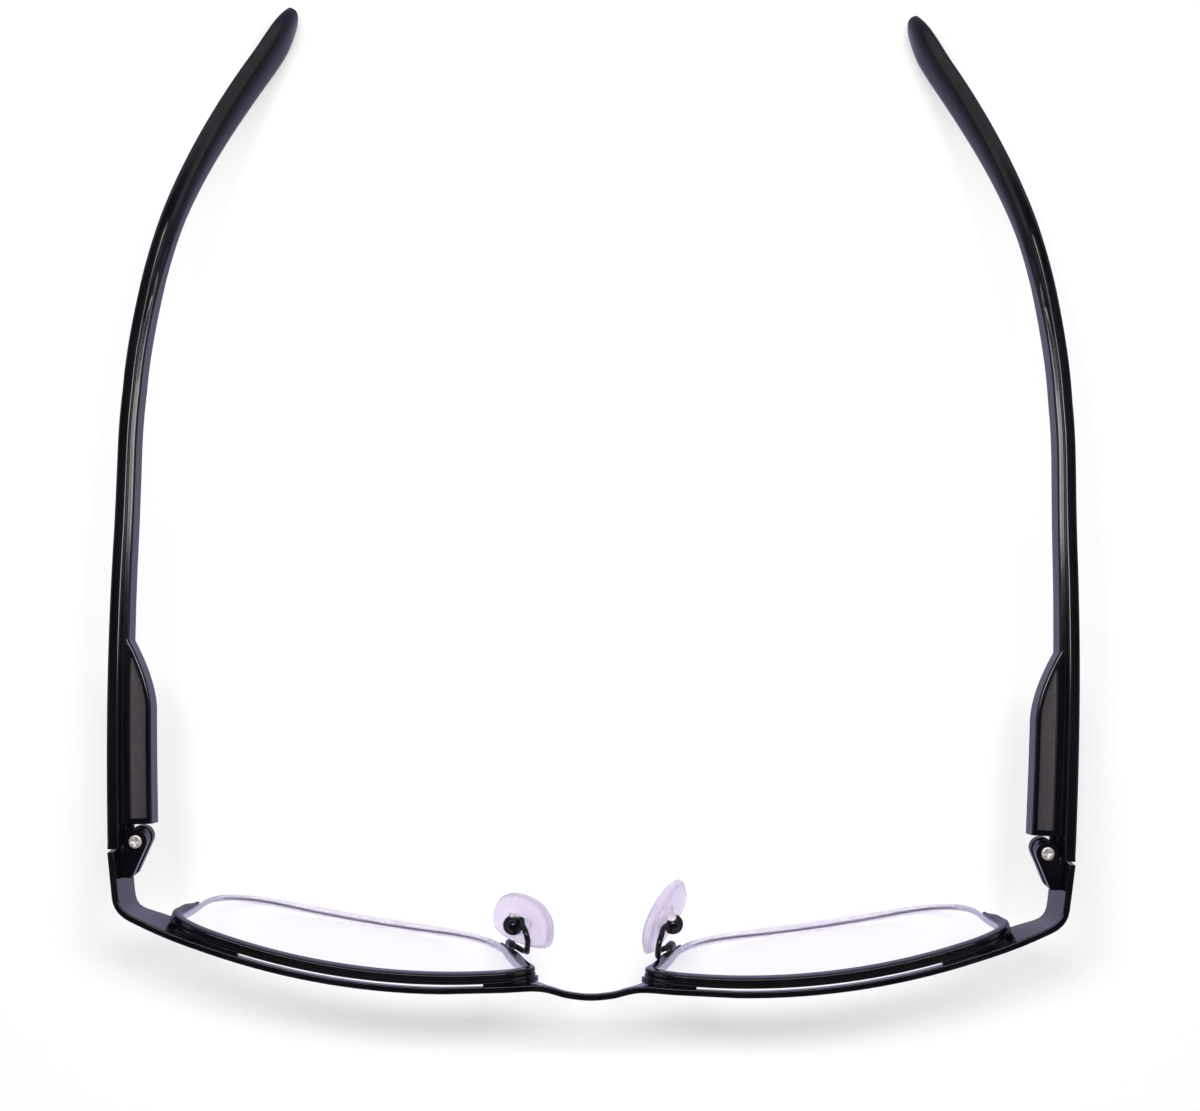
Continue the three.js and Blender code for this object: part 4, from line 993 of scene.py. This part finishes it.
def moulded_matt_painted_sheen():
    """Spark-eroded matt texture in the block's pocket, with grain and roughness; its grey against the
    polished arm is painted sheen, standing for light the pocket floor reflects.
    """
    texture = Nodes("moulded_matt_painted_sheen")
    texture.set(IOR=1.35)
    grain = texture.noise(1800.0)
    # Painted sheen: the grey base colour lightens the pocket as if its floor reflected the lamp
    texture.colour(grain, (0.034, 0.028, 0.034), (0.05, 0.042, 0.048))
    texture.roughness(900.0, 0.4, 0.55)
    texture.bump(grain, 0.1, 0.00002)
    return texture.material


def lens_plastic():
    """Coated lens: clear, with a faint violet mirror that grows towards grazing views."""
    film = Nodes("lens_plastic")
    film.set(Metallic=1.0)
    haze = film.noise(90.0)
    film.colour(haze, (0.8, 0.76, 0.95), (0.9, 0.88, 1.0))
    film.roughness(400.0, 0.01, 0.04)
    clear = film.add("ShaderNodeBsdfTransparent", Color=(0.998, 0.997, 1.0, 1))
    gloss = film.add("ShaderNodeFresnel", IOR=1.5)
    share = film.add("ShaderNodeMath", operation="MINIMUM")
    share.inputs[1].default_value = 0.03
    mix = film.add("ShaderNodeMixShader")
    film.link(gloss.outputs["Fac"], share.inputs[0])
    film.link(share.outputs["Value"], mix.inputs["Fac"])
    film.link(clear.outputs["BSDF"], mix.inputs[1])
    film.link(film.shader.outputs["BSDF"], mix.inputs[2])
    film.link(mix.outputs["Shader"], film.tree.nodes["Material Output"].inputs["Surface"])
    return film.material


def ground_edge():
    """Ground rim of the lens, satin and grey with violet."""
    rough = Nodes("lens_edge")
    rough.set(IOR=1.2, Transmission_Weight=0.85)
    cloud = rough.noise(700.0)
    rough.colour(cloud, (0.55, 0.5, 0.62), (0.68, 0.63, 0.75))
    rough.roughness(2600.0, 0.3, 0.5)
    rough.let_light_through((0.95, 0.94, 0.98))
    return rough.material


def nylon():
    """Nylon line and liner, smoky grey with violet."""
    line = Nodes("nylon")
    line.set(IOR=1.53, Transmission_Weight=0.3)
    cloud = line.noise(1200.0)
    line.colour(cloud, (0.05, 0.04, 0.06), (0.09, 0.07, 0.11))
    line.roughness(2200.0, 0.2, 0.4)
    line.let_light_through((0.7, 0.68, 0.76))
    return line.material


def screw_steel():
    """Bright screw steel, finely scratched and unevenly worn."""
    steel = Nodes("screw_steel")
    steel.set(Metallic=1.0)
    wear = steel.noise(3200.0)
    steel.colour(wear, (0.78, 0.7, 0.66), (0.97, 0.93, 0.9))
    steel.roughness(5200.0, 0.3, 0.5)
    steel.bump(wear, 0.25, 0.00003)
    return steel.material


def pad_silicone():
    """Soft clear silicone, milky violet where it is thick."""
    soft = Nodes("pad_silicone")
    soft.set(IOR=1.3, Transmission_Weight=0.7)
    cloud = soft.noise(420.0)
    soft.colour(cloud, (0.72, 0.66, 0.78), (0.78, 0.72, 0.83))
    soft.roughness(1600.0, 0.08, 0.2)
    soft.bump(soft.noise(900.0), 0.1, 0.00003)
    soft.let_light_through((0.9, 0.87, 0.95))
    return soft.material


def pad_core():
    """Hard clear insert in the pad."""
    core = Nodes("pad_core_plastic")
    core.set(IOR=1.4, Transmission_Weight=0.9)
    cloud = core.noise(500.0)
    core.colour(cloud, (0.8, 0.76, 0.88), (0.9, 0.87, 0.95))
    core.roughness(1500.0, 0.04, 0.14)
    core.let_light_through((0.92, 0.9, 0.96))
    return core.material


# Carried-over CAD nodes

def polish(name, width, material, turn=28.0):
    """Rounds a CAD node's sharp edges and smooths its facets, with its own vertices left alone."""
    piece = frame["nodes"][name]
    weld = piece.modifiers.new("weld", "WELD")
    weld.merge_threshold = 0.5e-6
    if "custom_normal" in piece.data.attributes:
        piece.data.attributes.remove(piece.data.attributes["custom_normal"])
    piece.data.shade_smooth()
    soften(piece, width, turn, 3)
    even(piece)
    piece.data.materials.clear()
    piece.data.materials.append(material)
    return piece


# Stage

def stage():
    """Plain pale floor and soft white light."""
    mesh = bpy.data.meshes.new("floor")
    corners = oblong(-FLOOR_HALF, -FLOOR_HALF, FLOOR_HALF, FLOOR_HALF)
    mesh.from_pydata([(x, y, 0) for x, y in corners], [], [(0, 1, 2, 3)])
    floor = bpy.data.objects.new("floor", mesh)
    bpy.context.scene.collection.objects.link(floor)
    paper = Nodes("paper")
    paper.set(Roughness=0.9, Specular_IOR_Level=0.0)
    paper.colour(paper.noise(3.0), (0.89, 0.89, 0.86), (0.91, 0.91, 0.88))
    floor.data.materials.append(paper.material)
    floor.visible_glossy = False
    world = bpy.data.worlds.new("studio")
    world.use_nodes = True
    tree = world.node_tree
    where = tree.nodes.new("ShaderNodeTexCoord")
    split = tree.nodes.new("ShaderNodeSeparateXYZ")
    ramp = tree.nodes.new("ShaderNodeValToRGB")
    tree.links.new(where.outputs["Generated"], split.inputs[0])
    height = tree.nodes.new("ShaderNodeMapRange")
    height.inputs["From Min"].default_value = -1.0
    tree.links.new(split.outputs["Z"], height.inputs["Value"])
    tree.links.new(height.outputs["Result"], ramp.inputs["Fac"])
    tree.links.new(ramp.outputs["Color"], tree.nodes["Background"].inputs["Color"])
    bands = ramp.color_ramp.elements
    for i, (place, colour) in enumerate(SKY_BANDS):
        band = bands[i] if i < 2 else bands.new(place)
        band.position = place
        band.color = (*colour, 1)
    tree.nodes["Background"].inputs["Strength"].default_value = SKY_STRENGTH
    bpy.context.scene.world = world
    scene = bpy.context.scene
    scene.view_settings.view_transform = "Standard"
    scene.view_settings.look = "None"
    area_light("key", KEY_PLACE, KEY_TARGET, KEY_WIDTH, KEY_DEPTH, KEY_POWER)


def area_light(name, place, target, width, depth, power):
    data = bpy.data.lights.new(name, "AREA")
    data.shape = "RECTANGLE"
    data.size = width
    data.size_y = depth
    data.energy = power
    lamp = bpy.data.objects.new(name, data)
    lamp.location = place
    aim = Vector(target) - Vector(place)
    lamp.rotation_euler = aim.to_track_quat("-Z", "Y").to_euler()
    bpy.context.scene.collection.objects.link(lamp)
    return lamp


def camera():
    data = bpy.data.cameras.new("camera")
    data.sensor_fit = "HORIZONTAL"
    data.sensor_width = SENSOR
    data.lens = CAMERA_FOCAL
    data.clip_start = 0.01
    data.clip_end = 20
    view = bpy.data.objects.new("camera", data)
    view.matrix_world = Matrix.Translation(CAMERA_PLACE) @ Matrix.Rotation(CAMERA_ROLL, 4, "Z")
    bpy.context.scene.collection.objects.link(view)
    bpy.context.scene.camera = view


def main():
    materials = {
        "enamel": enamel(),
        "temple_plastic": temple_plastic(),
        "lens_plastic": lens_plastic(),
        "nylon": nylon(),
        "screw_steel": screw_steel(),
        "pad_silicone": pad_silicone(),
        "pad_core_plastic": pad_core(),
    }
    edge_material = ground_edge()
    # Matt pocket texture, its grey colour painted sheen
    pocket_painted_sheen = moulded_matt_painted_sheen()
    for name, side in SIDES.items():
        rim(name, side, materials["enamel"])
        nasal_start = LENS_NASAL + NASAL_BRACE_INSET
        outer_start = LENS_OUTER - OUTER_BRACE_INSET - OUTER_BRACE_LENGTH
        brace("nasal", name, side, nasal_start, NASAL_BRACE_LENGTH, materials["enamel"])
        brace("outer", name, side, outer_start, OUTER_BRACE_LENGTH, materials["enamel"])
        lens(name, side, materials["lens_plastic"], edge_material)
        cord(name, side, materials["nylon"])
        temple(name, side, materials["temple_plastic"], pocket_painted_sheen)
        nose_pad(name, side, materials["pad_silicone"])
        pad_box(name, side, materials["enamel"])
        pad_arm(name, side, materials["enamel"])
    replaced = {f"{kind}_{name}" for kind in MODELLED for name in SIDES}
    for part in frame["record"]["subparts"]:
        node, slot = part["node"], part["material_slot"]
        if node not in replaced:
            rounding = PLATE_ROUNDING if node == "brow_plate" else ROUNDINGS[slot]
            polish(node, rounding, materials[slot])
    stage()
    camera()


main()
